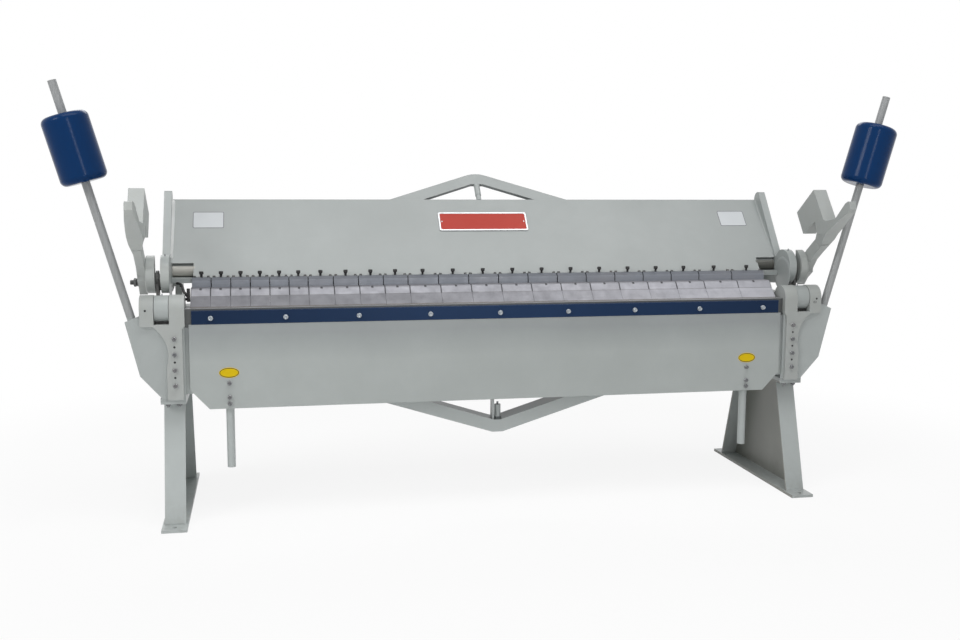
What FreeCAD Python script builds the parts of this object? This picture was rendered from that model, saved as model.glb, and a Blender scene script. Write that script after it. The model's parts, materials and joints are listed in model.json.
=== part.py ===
"""Box and pan brake for sheet metal, 96 inch row of fingers, hand operated.

Frame: +Z is up, +X runs along the row of fingers to the operator's right, +Y points
away from the operator. The origin is on the floor, midway between the four anchor
holes. Units are millimetres.

The solids are laid out from the bend line, the axis that the apron swings about:
a pair (depth, height) is the distance behind the bend line and the height above it.
"""
import FreeCAD, Part
import math
import os

from FreeCAD import Vector

os.makedirs("parts", exist_ok=True)

# Fits and gaps
RUNNING_FIT = 0.05
SEAT_FIT = 0.02
SIDE_GAP = 2.0
JAW_GAP = 0.3
PLATE_GAP = 0.5

# Finger row, left to right: how many fingers of which width
INCH = 25.4
FINGER_GROUPS = [(6, 3.0 * INCH), (4, 4.0 * INCH), (10, 5.0 * INCH), (2, 6.0 * INCH)]
FINGER_WIDTHS = [width for count, width in FINGER_GROUPS for _ in range(count)]
HALF_ROW = sum(FINGER_WIDTHS) / 2

# Heights of the bend line and of what carries it
BEND_HEIGHT = 838.0
END_FRAME_HEIGHT = 363.0

# Apron hinge at each end
BED_OVERHANG = 17.0
INNER_EAR_WIDTH = 57.0
OUTER_EAR_WIDTH = 52.0
KNUCKLE_WIDTH = 53.0
EAR_RADIUS = 53.0
KNUCKLE_RADIUS = 51.0
HINGE_PIN_RADIUS = 19.0
BUSHING_WALL = 4.0
SLOT_FLOOR_CLEARANCE = 6.0
EAR_FLAT = EAR_RADIUS
WEB_DEPTH = 46.0

# Places along X of what stands at the right end; the left end is its mirror image
BED_HALF = HALF_ROW + BED_OVERHANG
INNER_EAR_X = BED_HALF + SIDE_GAP
KNUCKLE_X = INNER_EAR_X + INNER_EAR_WIDTH + SIDE_GAP
OUTER_EAR_X = KNUCKLE_X + KNUCKLE_WIDTH + SIDE_GAP
EAR_END_X = OUTER_EAR_X + OUTER_EAR_WIDTH
END_FRAME_THICKNESS = 41.0
END_FRAME_FACE_X = KNUCKLE_X + END_FRAME_THICKNESS

# Stands
FOOT_WIDTH = 96.0
FOOT_LENGTH = 820.0
FOOT_THICKNESS = 12.0
FOOT_FRONT = -177.0
ANCHOR_INSET = 30.0
ANCHOR_RADIUS = 9.0
LEG_WIDTH = 79.0
LEG_THICKNESS = 10.0
LEG_FOOT_SETBACK = 69.0
LEG_TOP_FRONT = 29.0
LEG_TOP_REAR = 429.0
STAND_TOP_THICKNESS = 8.0
STAND_TOP_OVERHANG = 55.0
FRAME_FOOT_THICKNESS = 15.0
FRAME_FRONT = 8.0
FRAME_TOP = 6.0
FRAME_REAR_EDGE = ((434.0, -190.0), (394.0, -40.0), (354.0, FRAME_TOP))
FRAME_BOLT_INSET = 18.0
FRAME_BOLT_SPREAD = 21.0
GUSSET_DEPTHS = (138.0, 402.0)
GUSSET_INSET = 6.0
GUSSET_HEIGHT = 120.0
GUSSET_TOP = 10.0
FOOT_CENTRE_X = END_FRAME_FACE_X - FOOT_WIDTH / 2
FOOT_CENTRE_DEPTH = FOOT_FRONT + FOOT_LENGTH / 2

# Bed, the fixed lower jaw
BED_TOP = -JAW_GAP
BED_DEPTH = 160.0
BED_BOTTOM = -198.0
BED_FRONT = 3.0
BED_WEB = 20.0
BED_FLANGE = 16.0
BED_TABLE = 22.0
BED_FLANGE_DEPTH = 104.0
EDGE_BAR_FRONT = 0.6
EDGE_BAR_DEPTH = 74.0
EDGE_BAR_HEIGHT = 26.0
BED_CLEAR_OF_EARS = 23.0
BED_RISER = 12.0
BED_RIBS = 6
BED_RIB_TOP = (6.0, 20.0)
EDGE_BAR_CORNER = 0.3
RIB_THICKNESS = 12.0

# Truss under the bed, a channel bent to a shallow vee
TRUSS_DROP = 341.0
TRUSS_SLOPE = math.radians(17.4)
TRUSS_FACE = 51.0
TRUSS_DEPTH = 100.0
TRUSS_WALL = 7.0
TRUSS_NOSE_HALF = 22.0
STRUT_FIN_X = (-21.0, -13.0)
STRUT_FIN_WIDTH = 40.0
POST_X = 5.0
POST_DEPTH = 30.0
POST_RADIUS = 13.0
POST_HEIGHT = 60.0
POST_FOOT_RADIUS = 21.0
POST_FOOT_HEIGHT = 9.0
POST_TIP_RADIUS = 4.0
POST_TIP = 11.0

# Top beam: a leaning face plate on a bottom flange, between two end plates
BEAM_SLOPE = math.radians(48.9)
BEAM_PLATE = 16.0
BEAM_FOOT = (147.0, 103.0)
BEAM_FACE_LENGTH = 407.0
BEAM_FLANGE = 20.0
BEAM_TOP_FLANGE = 62.0
BEAM_TOP_THICKNESS = 12.0
BEAM_RIBS = 7
BEAM_RIB_INSET = 60.0
BEAM_END_THICKNESS = 30.6
BEAM_END_INSET = 4.0
BEAM_END_FACE_X = END_FRAME_FACE_X - BEAM_END_INSET
BEAM_END_X = BEAM_END_FACE_X - BEAM_END_THICKNESS
BEAM_END_FOOT = 72.0
BEAM_END_REAR = ((282.0, 38.0), (412.0, 54.0), (482.0, 184.0), (482.0, 345.0), (425.0, 409.0))
BEAM_END_CROWN = ((416.0, 434.0), (392.0, 445.0))
BEAM_END_EDGE = ((386.0, 445.0), (381.5, 441.0), (170.0, 137.0))
POCKET_START = -6.0
POCKET_HEIGHT = 56.0
POCKET_OVERLAP = 6.0
POCKET_REACH = (-5.0, 95.0)
POCKET_BAR = (203.0, 127.0)
POCKET_BAR_RADIUS = 22.0
POCKET_BACK = (224.0, 232.0)
POCKET_BACK_HEIGHT = 69.0
POCKET_BACK_SIDES = (20.0, 8.0)

# Truss on top of the beam, as (x, rise above the beam's edge)
UPPER_TRUSS_OUTER = ((396.0, 0.0), (50.0, 136.5), (30.0, 143.5), (12.0, 147.0))
UPPER_TRUSS_INNER = ((27.0, 88.5), (249.0, 0.0))
UPPER_TRUSS_FACES = (0.0, 15.0)
UPPER_STRUT_RADIUS = 13.0
UPPER_SCREW_RADIUS = 11.0
UPPER_SCREW_LENGTH = 28.0

# Beam pivot, low on the end frame, as far below the bend line as it is behind it,
# so that the finger noses rise and draw back along the 45 degree line of a full fold
PIVOT = (302.0, -302.0)
PIVOT_PIN_RADIUS = 20.0
PIVOT_BOSS_RADIUS = 38.0
ARM_THICKNESS = 27.0
ARM_SHOULDER = 130.0
PIVOT_PIN_END = 5.0
PIVOT_COLLAR_WALL = 9.0
ARM_TOP = ((294.0, 58.0), (292.0, 200.0), (404.0, 200.0), (392.0, 58.0))

# Clamp mechanism: the hub on the beam, the handle's axis, its eccentric and the link
HUB = (110.0, 124.0)
HUB_RADIUS = 75.0
HUB_INBOARD = 6.0
HUB_FACE_X = BEAM_END_FACE_X - 4.0
SHAFT = (105.0, 93.0)
SHAFT_RADIUS = 18.0
NECK_RADIUS = 12.0
ECCENTRICITY = 12.0
LOBE_SHOULDER = 1.5
ECCENTRIC_RADIUS = NECK_RADIUS + ECCENTRICITY + LOBE_SHOULDER
LINK_CLEARANCE = 3.3
LINK_WALL = 7.5
LINK_FOOT_WALL = 11.7
LINK_THICKNESS = 10.4
LINK_PIN = (105.0, -98.0)
LINK_PIN_RADIUS = 15.0
LINK_PIN_HEAD_WALL = 11.0
LINK_PIN_HEAD = 6.0
LINK_SHANK = 58.0
LINK_X = END_FRAME_FACE_X + SIDE_GAP
HANDLE_X = LINK_X + LINK_THICKNESS + SIDE_GAP
DISC_THICKNESS = 35.0
DISC_REAR = 96.0
DISC_CHAMFER = 4.0
SHAFT_BOSS_RADIUS = 36.0
SHAFT_COLLAR_RADIUS = 33.0
HANDLE_WIDTH = 59.0
HANDLE_ARM_WIDTH = 30.0
HANDLE_CENTRE_X = HANDLE_X + DISC_THICKNESS + HANDLE_ARM_WIDTH / 2
GRIP_WIDTH = 28.0
HANDLE_HEAD = (
    (0.0, 460.0), (139.0, 359.0), (74.0, 269.0), (-27.0, 327.0),
    (-48.0, 272.0), (-118.0, 279.0), (-126.0, 328.0), (-95.0, 337.0),
)
HANDLE_ARM_FRONT = (
    (128.0, 42.0), (97.0, 76.0), (57.0, 103.0), (57.0, 119.0),
    (24.0, 160.0), (-25.0, 195.0), (-72.0, 226.0),
)
HANDLE_ARM_BACK = ((-40.0, 272.0), (14.0, 235.0), (65.0, 199.0), (120.0, 150.0))
HANDLE_TAIL = (190.0, 85.0)
HANDLE_TAIL_RADIUS = 20.0
HANDLE_ELBOW = (
    ((-45.0, 280.0), (-118.0, 279.0), HANDLE_WIDTH),
    ((-34.0, 268.0), (-96.0, 253.0), HANDLE_WIDTH - 7.0),
    ((-8.0, 250.0), (-50.0, 212.0), HANDLE_ARM_WIDTH),
)
HANDLE_GRIP = (
    ((-110.0, 330.0), (-118.0, 279.0), HANDLE_WIDTH),
    ((-186.0, 343.0), (-165.0, 308.0), GRIP_WIDTH + 26.0),
    ((-246.0, 407.0), (-232.0, 352.0), GRIP_WIDTH + 10.0),
)
HANDLE_TIP = (
    HANDLE_GRIP[-1],
    ((-261.0, 416.0), (-262.0, 368.0), GRIP_WIDTH + 4.0),
    ((-270.0, 415.0), (-276.0, 385.0), GRIP_WIDTH),
)

# Fingers, clamp blocks and their screws
FINGER_GAP = 0.4
NOSE_SETBACK = 0.5
NOSE_TOP = (41.0, 40.2)
BROW_TOP = (61.0, 65.5)
FINGER_TOP = 69.0
SOLE_LENGTH = 46.0
TONGUE_BOTTOM = 46.0
TONGUE_START = 108.0
TONGUE_END = 222.0
RAIL_FRONT = 148.0
RAIL_DEPTH = 96.0
BLOCK_FRONT = 116.0
BLOCK_FRONT_HEIGHT = 25.0
BLOCK_REAR_HEIGHT = 37.0
BLOCK_TOP_START = 131.0
BLOCK_SIDE_GAP = 4.0
BLOCK_LEAN = 1.0
BLOCK_SCREW_INSET = 9.0
BLOCK_BOLT_FLAT = 5.0
BLOCK_BOLT_HEAD = 5.0
BLOCK_WASHER = 1.5
BLOCK_WASHER_RADIUS = 7.0
NOTCH_RADII = (3.5, 0.5)
NOTCH_DEPTH = 6.0
BROW_WIDTH = 5.0
SCREW_SETBACK = 9.0
THUMB_RADIUS = 8.5
THUMB_SHANK_RADIUS = 4.6
THUMB_HEIGHT = 24.0

# Apron: panel, steel edge bar, painted cap bar, hinge castings and balance arms
APRON_FRONT = -40.0
APRON_THICKNESS = 12.0
APRON_BOTTOM = -393.0
APRON_HALF = HALF_ROW + 5.0
CHAMFER_WIDTH = 71.0
CHAMFER_HEIGHT = 77.0
APRON_LIP = 22.0
CAP_HALF = HALF_ROW - 5.5
CAP_TOP = -6.5
CAP_HEIGHT = 54.0
CAP_PROUD = 1.5
CAP_CHAMFER = 1.5
CAP_BOLT_DROP = 3.0
APRON_BAR_BOTTOM = -71.0
APRON_BAR_REAR = -1.0
APRON_BAR_TOP = -0.4
CAP_BOLTS = 9
CAP_BOLT_PITCH = 285.4
CASTING_INSET = 10.0
CASTING_STRIP_WIDTH = 60.0
CASTING_BOTTOM = -350.0
HEAD_BOTTOM = -64.0
HEAD_FILLET = ((13.0, -40.0), (50.0, 0.0))
FILLET_FOOT = 156.4
EAR_BACK = 10.0
PIN_INSET = 3.0
CASTING_BOLTS = 4
CASTING_BOLT_PITCH = 60.4
CASTING_BOLT_TOP = -113.0
DOUBLER_THICKNESS = 18.0
DOUBLER_OVERLAP = 50.0
DOUBLER_REACH = 14.0
DOUBLER_BOTTOM = 62.0
WING_THICKNESS = 12.0
WING_TOP_OUTER = (219.0, -46.0)
WING_WAIST = (169.0, -256.0)
WING_BOTTOM_OUTER = (88.0, -347.0)
WING_SHOULDER = 23.0
ROD_RADIUS = 16.0
ROD_LEAN = math.radians(15.65)
ROD_AT_WING = 197.5
ROD_WING_HEIGHT = -34.0
ROD_OVERLAP = 150.0
ROD_LENGTH = 921.0
WELD_WIDTH = 0.8 * ROD_RADIUS
WELD_ENDS = (8.0, 12.0)

# Counterweights
WEIGHT_RADIUS = 86.5
WEIGHT_LENGTH = 258.5
WEIGHT_EDGE = 24.0
WEIGHT_START = 535.0
WEIGHT_FIT = 0.1

# Pull handles under the apron
PULL_HANDLE_X = 1076.5
PULL_HANDLE_RADIUS = 16.0
PULL_HANDLE_TOP = -272.0
PULL_HANDLE_BOTTOM = -632.0
PULL_HANDLE_WALL = 3.5
PULL_HANDLE_PLUG = 20.0
PULL_BOLT_HEIGHTS = (-292.0, -348.0, -373.0)

# Hexagon bolts, one size for the apron and one for the frame
BOLT_FLAT = 9.5
BOLT_HEAD = 7.0
WASHER_RADIUS = 12.0
WASHER_THICKNESS = 2.5
BOLT_SHANK_RADIUS = 6.0
FRAME_NUT = 9.0
CAP_BOLT_LENGTH = 34.0
CASTING_BOLT_LENGTH = 42.0
PULL_BOLT_LENGTH = 17.0
FRAME_BOLT_LENGTH = FRAME_FOOT_THICKNESS + STAND_TOP_THICKNESS + 16.0

# How far a cutting tool runs past the face it opens
PAST = 1.0

# Places worked out from the sizes above
SHELF_TOP = BED_TOP - EDGE_BAR_HEIGHT
EDGE_BAR_REAR = EDGE_BAR_FRONT + EDGE_BAR_DEPTH
STAND_HEAD_FRONT = LEG_TOP_FRONT - STAND_TOP_OVERHANG
STAND_HEAD_REAR = LEG_TOP_REAR + STAND_TOP_OVERHANG
FRAME_FOOT_TOP = FRAME_FOOT_THICKNESS - END_FRAME_HEIGHT
RAIL_BOTTOM = BEAM_FOOT[1] - BEAM_FLANGE
BLOCK_TOP = FINGER_TOP + BLOCK_REAR_HEIGHT
SCREW_DEPTH = RAIL_FRONT - SCREW_SETBACK
HUB_INNER_X = BEAM_END_X - HUB_INBOARD
APRON_REAR = APRON_FRONT + APRON_THICKNESS
CASTING_STRIP_X = INNER_EAR_X + CASTING_INSET
WING_INNER_X = INNER_EAR_X + SIDE_GAP
SLOT_FLOOR = -KNUCKLE_RADIUS - SLOT_FLOOR_CLEARANCE
LOBE_CENTRE = (SHAFT[0], SHAFT[1] + ECCENTRICITY)


def place(x, depth, height):
    """A point laid out from the bend line, in the part's own frame."""
    return Vector(x, depth - FOOT_CENTRE_DEPTH, height + BEND_HEIGHT)


def side_point(pair, x=0.0):
    return place(x, pair[0], pair[1])


def outline(start, steps, to_point):
    """A closed wire: each step is a point, or a pair of points for an arc through the first."""
    edges = []
    here = start
    for step in list(steps) + [start]:
        if isinstance(step[0], tuple):
            through, there = step
            arc = Part.Arc(to_point(here), to_point(through), to_point(there))
            edges.append(arc.toShape())
        else:
            there = step
            if there == here:
                continue
            edges.append(Part.makeLine(to_point(here), to_point(there)))
        here = there
    return Part.Wire(edges)


def side_plate(x_low, x_high, start, *steps):
    """A plate square to X, from its side outline in (depth, height)."""
    wire = outline(start, steps, lambda pair: side_point(pair, x_low))
    return Part.Face(wire).extrude(Vector(x_high - x_low, 0, 0))


def front_plate(depth_low, depth_high, start, *steps):
    """A plate square to Y, from its front outline in (x, height)."""
    wire = outline(start, steps, lambda pair: place(pair[0], depth_low, pair[1]))
    return Part.Face(wire).extrude(Vector(0, depth_high - depth_low, 0))


def block(x_range, depth_range, height_range):
    low = place(x_range[0], depth_range[0], height_range[0])
    high = place(x_range[1], depth_range[1], height_range[1])
    return Part.makeBox(high.x - low.x, high.y - low.y, high.z - low.z, low)


def x_cylinder(radius, x_low, x_high, centre):
    return Part.makeCylinder(radius, x_high - x_low, side_point(centre, x_low), Vector(1, 0, 0))


def z_cylinder(radius, x, depth, height_low, height_high):
    return Part.makeCylinder(radius, height_high - height_low, place(x, depth, height_low))


def hex_prism(across_flats, thickness, base, direction):
    """A hexagonal head or nut standing on the point base."""
    corner = across_flats / math.cos(math.pi / 6)
    points = [
        Vector(corner * math.cos(k * math.pi / 3), corner * math.sin(k * math.pi / 3), 0)
        for k in range(6)
    ]
    prism = Part.Face(Part.makePolygon(points + points[:1])).extrude(Vector(0, 0, thickness))
    turn = FreeCAD.Rotation(Vector(0, 0, 1), direction)
    prism.Placement = FreeCAD.Placement(base, turn)
    return prism


def hex_bolt(base, axis, shank_length):
    """A bolt with its washer: the washer lies on base and the shank runs against axis."""
    washer = Part.makeCylinder(WASHER_RADIUS, WASHER_THICKNESS, base, axis)
    head = hex_prism(BOLT_FLAT, BOLT_HEAD, base + axis * WASHER_THICKNESS, axis)
    shank = Part.makeCylinder(BOLT_SHANK_RADIUS, shank_length, base - axis * shank_length, axis)
    return washer.fuse([head, shank]).removeSplitter()


def mirrored(shape):
    return shape.mirror(Vector(0, 0, 0), Vector(1, 0, 0))


def both_sides(shapes):
    return Part.makeCompound(shapes + [mirrored(shape) for shape in shapes])


def fused(first, *others):
    return first.fuse(list(others)).removeSplitter()


def export(name, shape):
    shape.exportStep("parts/" + name + ".step")


def export_pair(name, shape):
    """The right-hand piece as built, and the left-hand piece as its mirror image."""
    export("right_" + name, shape)
    export("left_" + name, mirrored(shape))


def stand():
    """A floor plate, a channel leg that opens inward, and a top plate."""
    x_low = FOOT_CENTRE_X - FOOT_WIDTH / 2
    x_high = FOOT_CENTRE_X + FOOT_WIDTH / 2
    floor = -BEND_HEIGHT
    top = -END_FRAME_HEIGHT
    plate_under = top - STAND_TOP_THICKNESS
    foot_top = floor + FOOT_THICKNESS
    foot = block((x_low, x_high), (FOOT_FRONT, FOOT_FRONT + FOOT_LENGTH), (floor, foot_top))
    for depth in (FOOT_FRONT + ANCHOR_INSET, FOOT_FRONT + FOOT_LENGTH - ANCHOR_INSET):
        foot = foot.cut(z_cylinder(ANCHOR_RADIUS, FOOT_CENTRE_X, depth, floor - PAST, foot_top + PAST))
    front_low = FOOT_FRONT + LEG_FOOT_SETBACK
    rear_low = FOOT_FRONT + FOOT_LENGTH - LEG_FOOT_SETBACK
    leg_low = FOOT_CENTRE_X - LEG_WIDTH / 2
    leg_high = FOOT_CENTRE_X + LEG_WIDTH / 2
    leg = side_plate(
        leg_low, leg_high, (front_low, foot_top), (rear_low, foot_top),
        (LEG_TOP_REAR, plate_under), (LEG_TOP_FRONT, plate_under),
    )
    lean = math.hypot(LEG_TOP_FRONT - front_low, plate_under - foot_top) / (plate_under - foot_top)
    inset = LEG_THICKNESS * lean
    hollow = side_plate(
        leg_low - PAST, leg_high - LEG_THICKNESS, (front_low + inset, foot_top),
        (rear_low - inset, foot_top), (LEG_TOP_REAR - inset, plate_under),
        (LEG_TOP_FRONT + inset, plate_under),
    )
    head = block((x_low, x_high), (STAND_HEAD_FRONT, STAND_HEAD_REAR), (plate_under, top))
    head = head.cut(frame_bolt_holes(plate_under, top))
    return fused(foot, leg.cut(hollow), head)


def frame_bolt_places():
    """Where the end frame is bolted to its stand: two bolts in front, two behind."""
    depths = (STAND_HEAD_FRONT + FRAME_BOLT_INSET, STAND_HEAD_REAR - FRAME_BOLT_INSET)
    return [(FOOT_CENTRE_X + side * FRAME_BOLT_SPREAD, depth) for side in (-1, 1) for depth in depths]


def frame_bolt_holes(height_low, height_high):
    radius = BOLT_SHANK_RADIUS + SEAT_FIT
    return Part.makeCompound([
        z_cylinder(radius, x, depth, height_low - PAST, height_high + PAST)
        for x, depth in frame_bolt_places()
    ])


def end_frame():
    """Foot plate with gussets, and the upright plate with the hinge knuckle and pin bores."""
    foot_low = FOOT_CENTRE_X - FOOT_WIDTH / 2
    under = -END_FRAME_HEIGHT
    top = FRAME_FOOT_TOP
    foot = block((foot_low, END_FRAME_FACE_X), (STAND_HEAD_FRONT, STAND_HEAD_REAR), (under, top))
    foot = foot.cut(frame_bolt_holes(under, top))
    plate = side_plate(
        KNUCKLE_X, END_FRAME_FACE_X, (FRAME_FRONT, top), (FRAME_REAR_EDGE[0][0], top),
        *FRAME_REAR_EDGE, (FRAME_FRONT, FRAME_TOP),
    )
    knuckle = x_cylinder(KNUCKLE_RADIUS, KNUCKLE_X, KNUCKLE_X + KNUCKLE_WIDTH, (0, 0))
    gussets = []
    for depth in GUSSET_DEPTHS:
        gussets.append(front_plate(
            depth, depth + RIB_THICKNESS, (foot_low + GUSSET_INSET, top), (KNUCKLE_X, top),
            (KNUCKLE_X, top + GUSSET_HEIGHT), (KNUCKLE_X - GUSSET_TOP, top + GUSSET_HEIGHT),
        ))
    bore_radius = HINGE_PIN_RADIUS + BUSHING_WALL + SEAT_FIT
    bore = x_cylinder(bore_radius, KNUCKLE_X - PAST, OUTER_EAR_X, (0, 0))
    bore_end = END_FRAME_FACE_X + PAST
    pin_bore = x_cylinder(PIVOT_PIN_RADIUS + SEAT_FIT, KNUCKLE_X - PAST, bore_end, PIVOT)
    link_bore = x_cylinder(LINK_PIN_RADIUS + SEAT_FIT, KNUCKLE_X, bore_end, LINK_PIN)
    return fused(foot, plate, knuckle, *gussets).cut(bore.fuse([pin_bore, link_bore]))


def hinge_bushing():
    outer = x_cylinder(HINGE_PIN_RADIUS + BUSHING_WALL, KNUCKLE_X, KNUCKLE_X + KNUCKLE_WIDTH, (0, 0))
    return outer.cut(x_cylinder(HINGE_PIN_RADIUS + RUNNING_FIT, KNUCKLE_X - PAST, OUTER_EAR_X, (0, 0)))


def hinge_pin():
    return x_cylinder(HINGE_PIN_RADIUS, INNER_EAR_X + PIN_INSET, EAR_END_X - PIN_INSET, (0, 0))


def pivot_pins():
    """The beam's pivot pin with its head and collar, and the headed pin that anchors the link."""
    low = KNUCKLE_X - 2 * SIDE_GAP - ARM_THICKNESS
    high = END_FRAME_FACE_X + PIVOT_PIN_END
    pin = x_cylinder(PIVOT_PIN_RADIUS, low - PIVOT_PIN_END, high + PAST, PIVOT)
    collar_radius = PIVOT_PIN_RADIUS + PIVOT_COLLAR_WALL
    collars = [x_cylinder(collar_radius, x - PIVOT_PIN_END, x, PIVOT) for x in (low, high)]
    anchor_end = LINK_X + LINK_THICKNESS + SIDE_GAP
    anchor = x_cylinder(LINK_PIN_RADIUS, KNUCKLE_X, anchor_end, LINK_PIN)
    head_radius = LINK_PIN_RADIUS + LINK_PIN_HEAD_WALL
    head = x_cylinder(head_radius, anchor_end, anchor_end + LINK_PIN_HEAD, LINK_PIN)
    return [fused(pin, *collars), fused(anchor, head)]


def bed_beam():
    """A box beam with a table behind the edge bar and gussets under the table."""
    shelf_top = SHELF_TOP
    table_front = EDGE_BAR_REAR
    flange_rear = BED_FRONT + BED_FLANGE_DEPTH
    ear_clear = -EAR_RADIUS - BED_CLEAR_OF_EARS
    half_bed = (-BED_HALF, BED_HALF)
    table_under = BED_TOP - BED_TABLE
    flange_top = BED_BOTTOM + BED_FLANGE
    web = front_plate(
        BED_FRONT, BED_FRONT + BED_WEB, (-KNUCKLE_X, BED_BOTTOM), (KNUCKLE_X, BED_BOTTOM),
        (KNUCKLE_X, ear_clear), (BED_HALF, ear_clear), (BED_HALF, shelf_top),
        (-BED_HALF, shelf_top), (-BED_HALF, ear_clear), (-KNUCKLE_X, ear_clear),
    )
    full = (-KNUCKLE_X, KNUCKLE_X)
    shelf = block(half_bed, (BED_FRONT, table_front), (shelf_top - BED_TABLE, shelf_top))
    table = block(full, (table_front, BED_DEPTH), (table_under, BED_TOP))
    flange = block(full, (BED_FRONT, flange_rear), (BED_BOTTOM, flange_top))
    rear_web = block(full, (flange_rear - BED_FLANGE, flange_rear), (BED_BOTTOM, table_under))
    riser_depths = (table_front, table_front + BED_RISER)
    riser = block(half_bed, riser_depths, (shelf_top - BED_TABLE, BED_TOP))
    rib_depth = BED_DEPTH - BED_RIB_TOP[0]
    ribs = []
    for k in range(BED_RIBS):
        x = -BED_HALF + (k + 0.5) * 2 * BED_HALF / BED_RIBS
        ribs.append(side_plate(
            x - RIB_THICKNESS / 2, x + RIB_THICKNESS / 2, (flange_rear, flange_top),
            (rib_depth, table_under - BED_RIB_TOP[1]), (rib_depth, table_under),
            (flange_rear, table_under),
        ))
    return fused(web, shelf, table, flange, rear_web, riser, *ribs)


def bed_edge_bar():
    corner = EDGE_BAR_CORNER
    return side_plate(
        -BED_HALF, BED_HALF, (EDGE_BAR_FRONT, SHELF_TOP), (EDGE_BAR_REAR, SHELF_TOP),
        (EDGE_BAR_REAR, BED_TOP), (EDGE_BAR_FRONT + corner, BED_TOP),
        (EDGE_BAR_FRONT, BED_TOP - corner),
    )


def vee(half_nose, low, slope, top):
    """The upper end of a line that starts at (half_nose, low) and climbs to the height top."""
    return half_nose + (top - low) / math.tan(slope)


def truss_outline(inset):
    """The front outline of the vee, with both of its long edges moved in by inset."""
    low = BED_BOTTOM - TRUSS_DROP + inset
    high = BED_BOTTOM - TRUSS_DROP + TRUSS_FACE - inset
    low_nose = TRUSS_NOSE_HALF - inset * math.tan(TRUSS_SLOPE / 2)
    high_nose = TRUSS_NOSE_HALF - (TRUSS_FACE - inset) * math.tan(TRUSS_SLOPE / 2)
    low_end = vee(low_nose, low, TRUSS_SLOPE, BED_BOTTOM)
    high_end = vee(high_nose, high, TRUSS_SLOPE, BED_BOTTOM)
    right = [(low_nose, low), (low_end, BED_BOTTOM), (high_end, BED_BOTTOM), (high_nose, high)]
    left = [(-x, height) for x, height in reversed(right)]
    return right + left


def lower_truss():
    outer = truss_outline(0)
    inner = truss_outline(TRUSS_WALL)
    front = BED_FRONT
    rear = front + TRUSS_DEPTH
    hollow = front_plate(front + TRUSS_WALL, rear + PAST, inner[0], *inner[1:])
    return front_plate(front, rear, outer[0], *outer[1:]).cut(hollow)


def lower_truss_strut():
    """Upright fin between the truss and the bed, with a short post on a flared foot beside it."""
    foot = BED_BOTTOM - TRUSS_DROP + TRUSS_FACE
    half = STRUT_FIN_WIDTH / 2
    fin = block(STRUT_FIN_X, (POST_DEPTH - half, POST_DEPTH + half), (foot, BED_BOTTOM))
    flare = Part.makeCone(POST_FOOT_RADIUS, POST_RADIUS, POST_FOOT_HEIGHT, place(POST_X, POST_DEPTH, foot))
    post = z_cylinder(POST_RADIUS, POST_X, POST_DEPTH, foot, foot + POST_HEIGHT)
    tip_height = foot + POST_HEIGHT + POST_TIP
    tip = z_cylinder(POST_TIP_RADIUS, POST_X, POST_DEPTH, foot + POST_HEIGHT, tip_height)
    return fused(fin, flare, post, tip).cut(lower_truss())


def face_point(along, inward):
    """A point of the beam's leaning face: up the slope from its foot, and in behind the face."""
    run = math.cos(BEAM_SLOPE)
    rise = math.sin(BEAM_SLOPE)
    depth = BEAM_FOOT[0] + along * run + inward * rise
    height = BEAM_FOOT[1] + along * rise - inward * run
    return (depth, height)


def beam_plate():
    """Leaning face plate with its top flange, rear ribs and the closed pockets at its ends."""
    foot_depth, foot_height = BEAM_FOOT
    foot_rear = foot_depth + BEAM_PLATE / math.sin(BEAM_SLOPE)
    top_front = face_point(BEAM_FACE_LENGTH, 0)
    top_rear = face_point(BEAM_FACE_LENGTH, BEAM_PLATE)
    flange_under = BEAM_FACE_LENGTH - BEAM_TOP_THICKNESS
    flange_rear = face_point(flange_under, BEAM_TOP_FLANGE)
    flange_front = face_point(flange_under, BEAM_PLATE)
    plate = side_plate(
        -BEAM_END_X, BEAM_END_X, BEAM_FOOT, (foot_rear, foot_height), top_rear, top_front,
    )
    flange = side_plate(
        -BEAM_END_X, BEAM_END_X, top_rear, face_point(BEAM_FACE_LENGTH, BEAM_TOP_FLANGE),
        flange_rear, flange_front,
    )
    pocket_low = HALF_ROW + POCKET_START
    pocket_high = HUB_INNER_X + POCKET_OVERLAP
    back_height = foot_height + POCKET_BACK_HEIGHT
    inner, outer = POCKET_BACK_SIDES
    backs = []
    for side in (-1, 1):
        ends = sorted((side * pocket_low, side * pocket_high))
        depths = [foot_depth + reach for reach in POCKET_REACH]
        plate = plate.cut(block(ends, depths, (foot_height - PAST, foot_height + POCKET_HEIGHT)))
        hub_ends = sorted((side * (HUB_INNER_X - PAST), side * (BEAM_END_X + PAST)))
        plate = plate.cut(x_cylinder(HUB_RADIUS + PLATE_GAP, *hub_ends, HUB))
        back_ends = sorted((side * (pocket_low - inner), side * (pocket_high - outer)))
        backs.append(block(back_ends, POCKET_BACK, (foot_height, back_height)))
        backs.append(x_cylinder(POCKET_BAR_RADIUS, *back_ends, POCKET_BAR))
    ribs = []
    rib_span = HALF_ROW - BEAM_RIB_INSET
    for k in range(BEAM_RIBS):
        x = -rib_span + k * 2 * rib_span / (BEAM_RIBS - 1)
        ribs.append(side_plate(
            x - RIB_THICKNESS / 2, x + RIB_THICKNESS / 2, (foot_rear, foot_height),
            (RAIL_FRONT + RAIL_DEPTH, foot_height), flange_rear, flange_front,
        ))
    return fused(plate, flange, *backs, *ribs)


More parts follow.
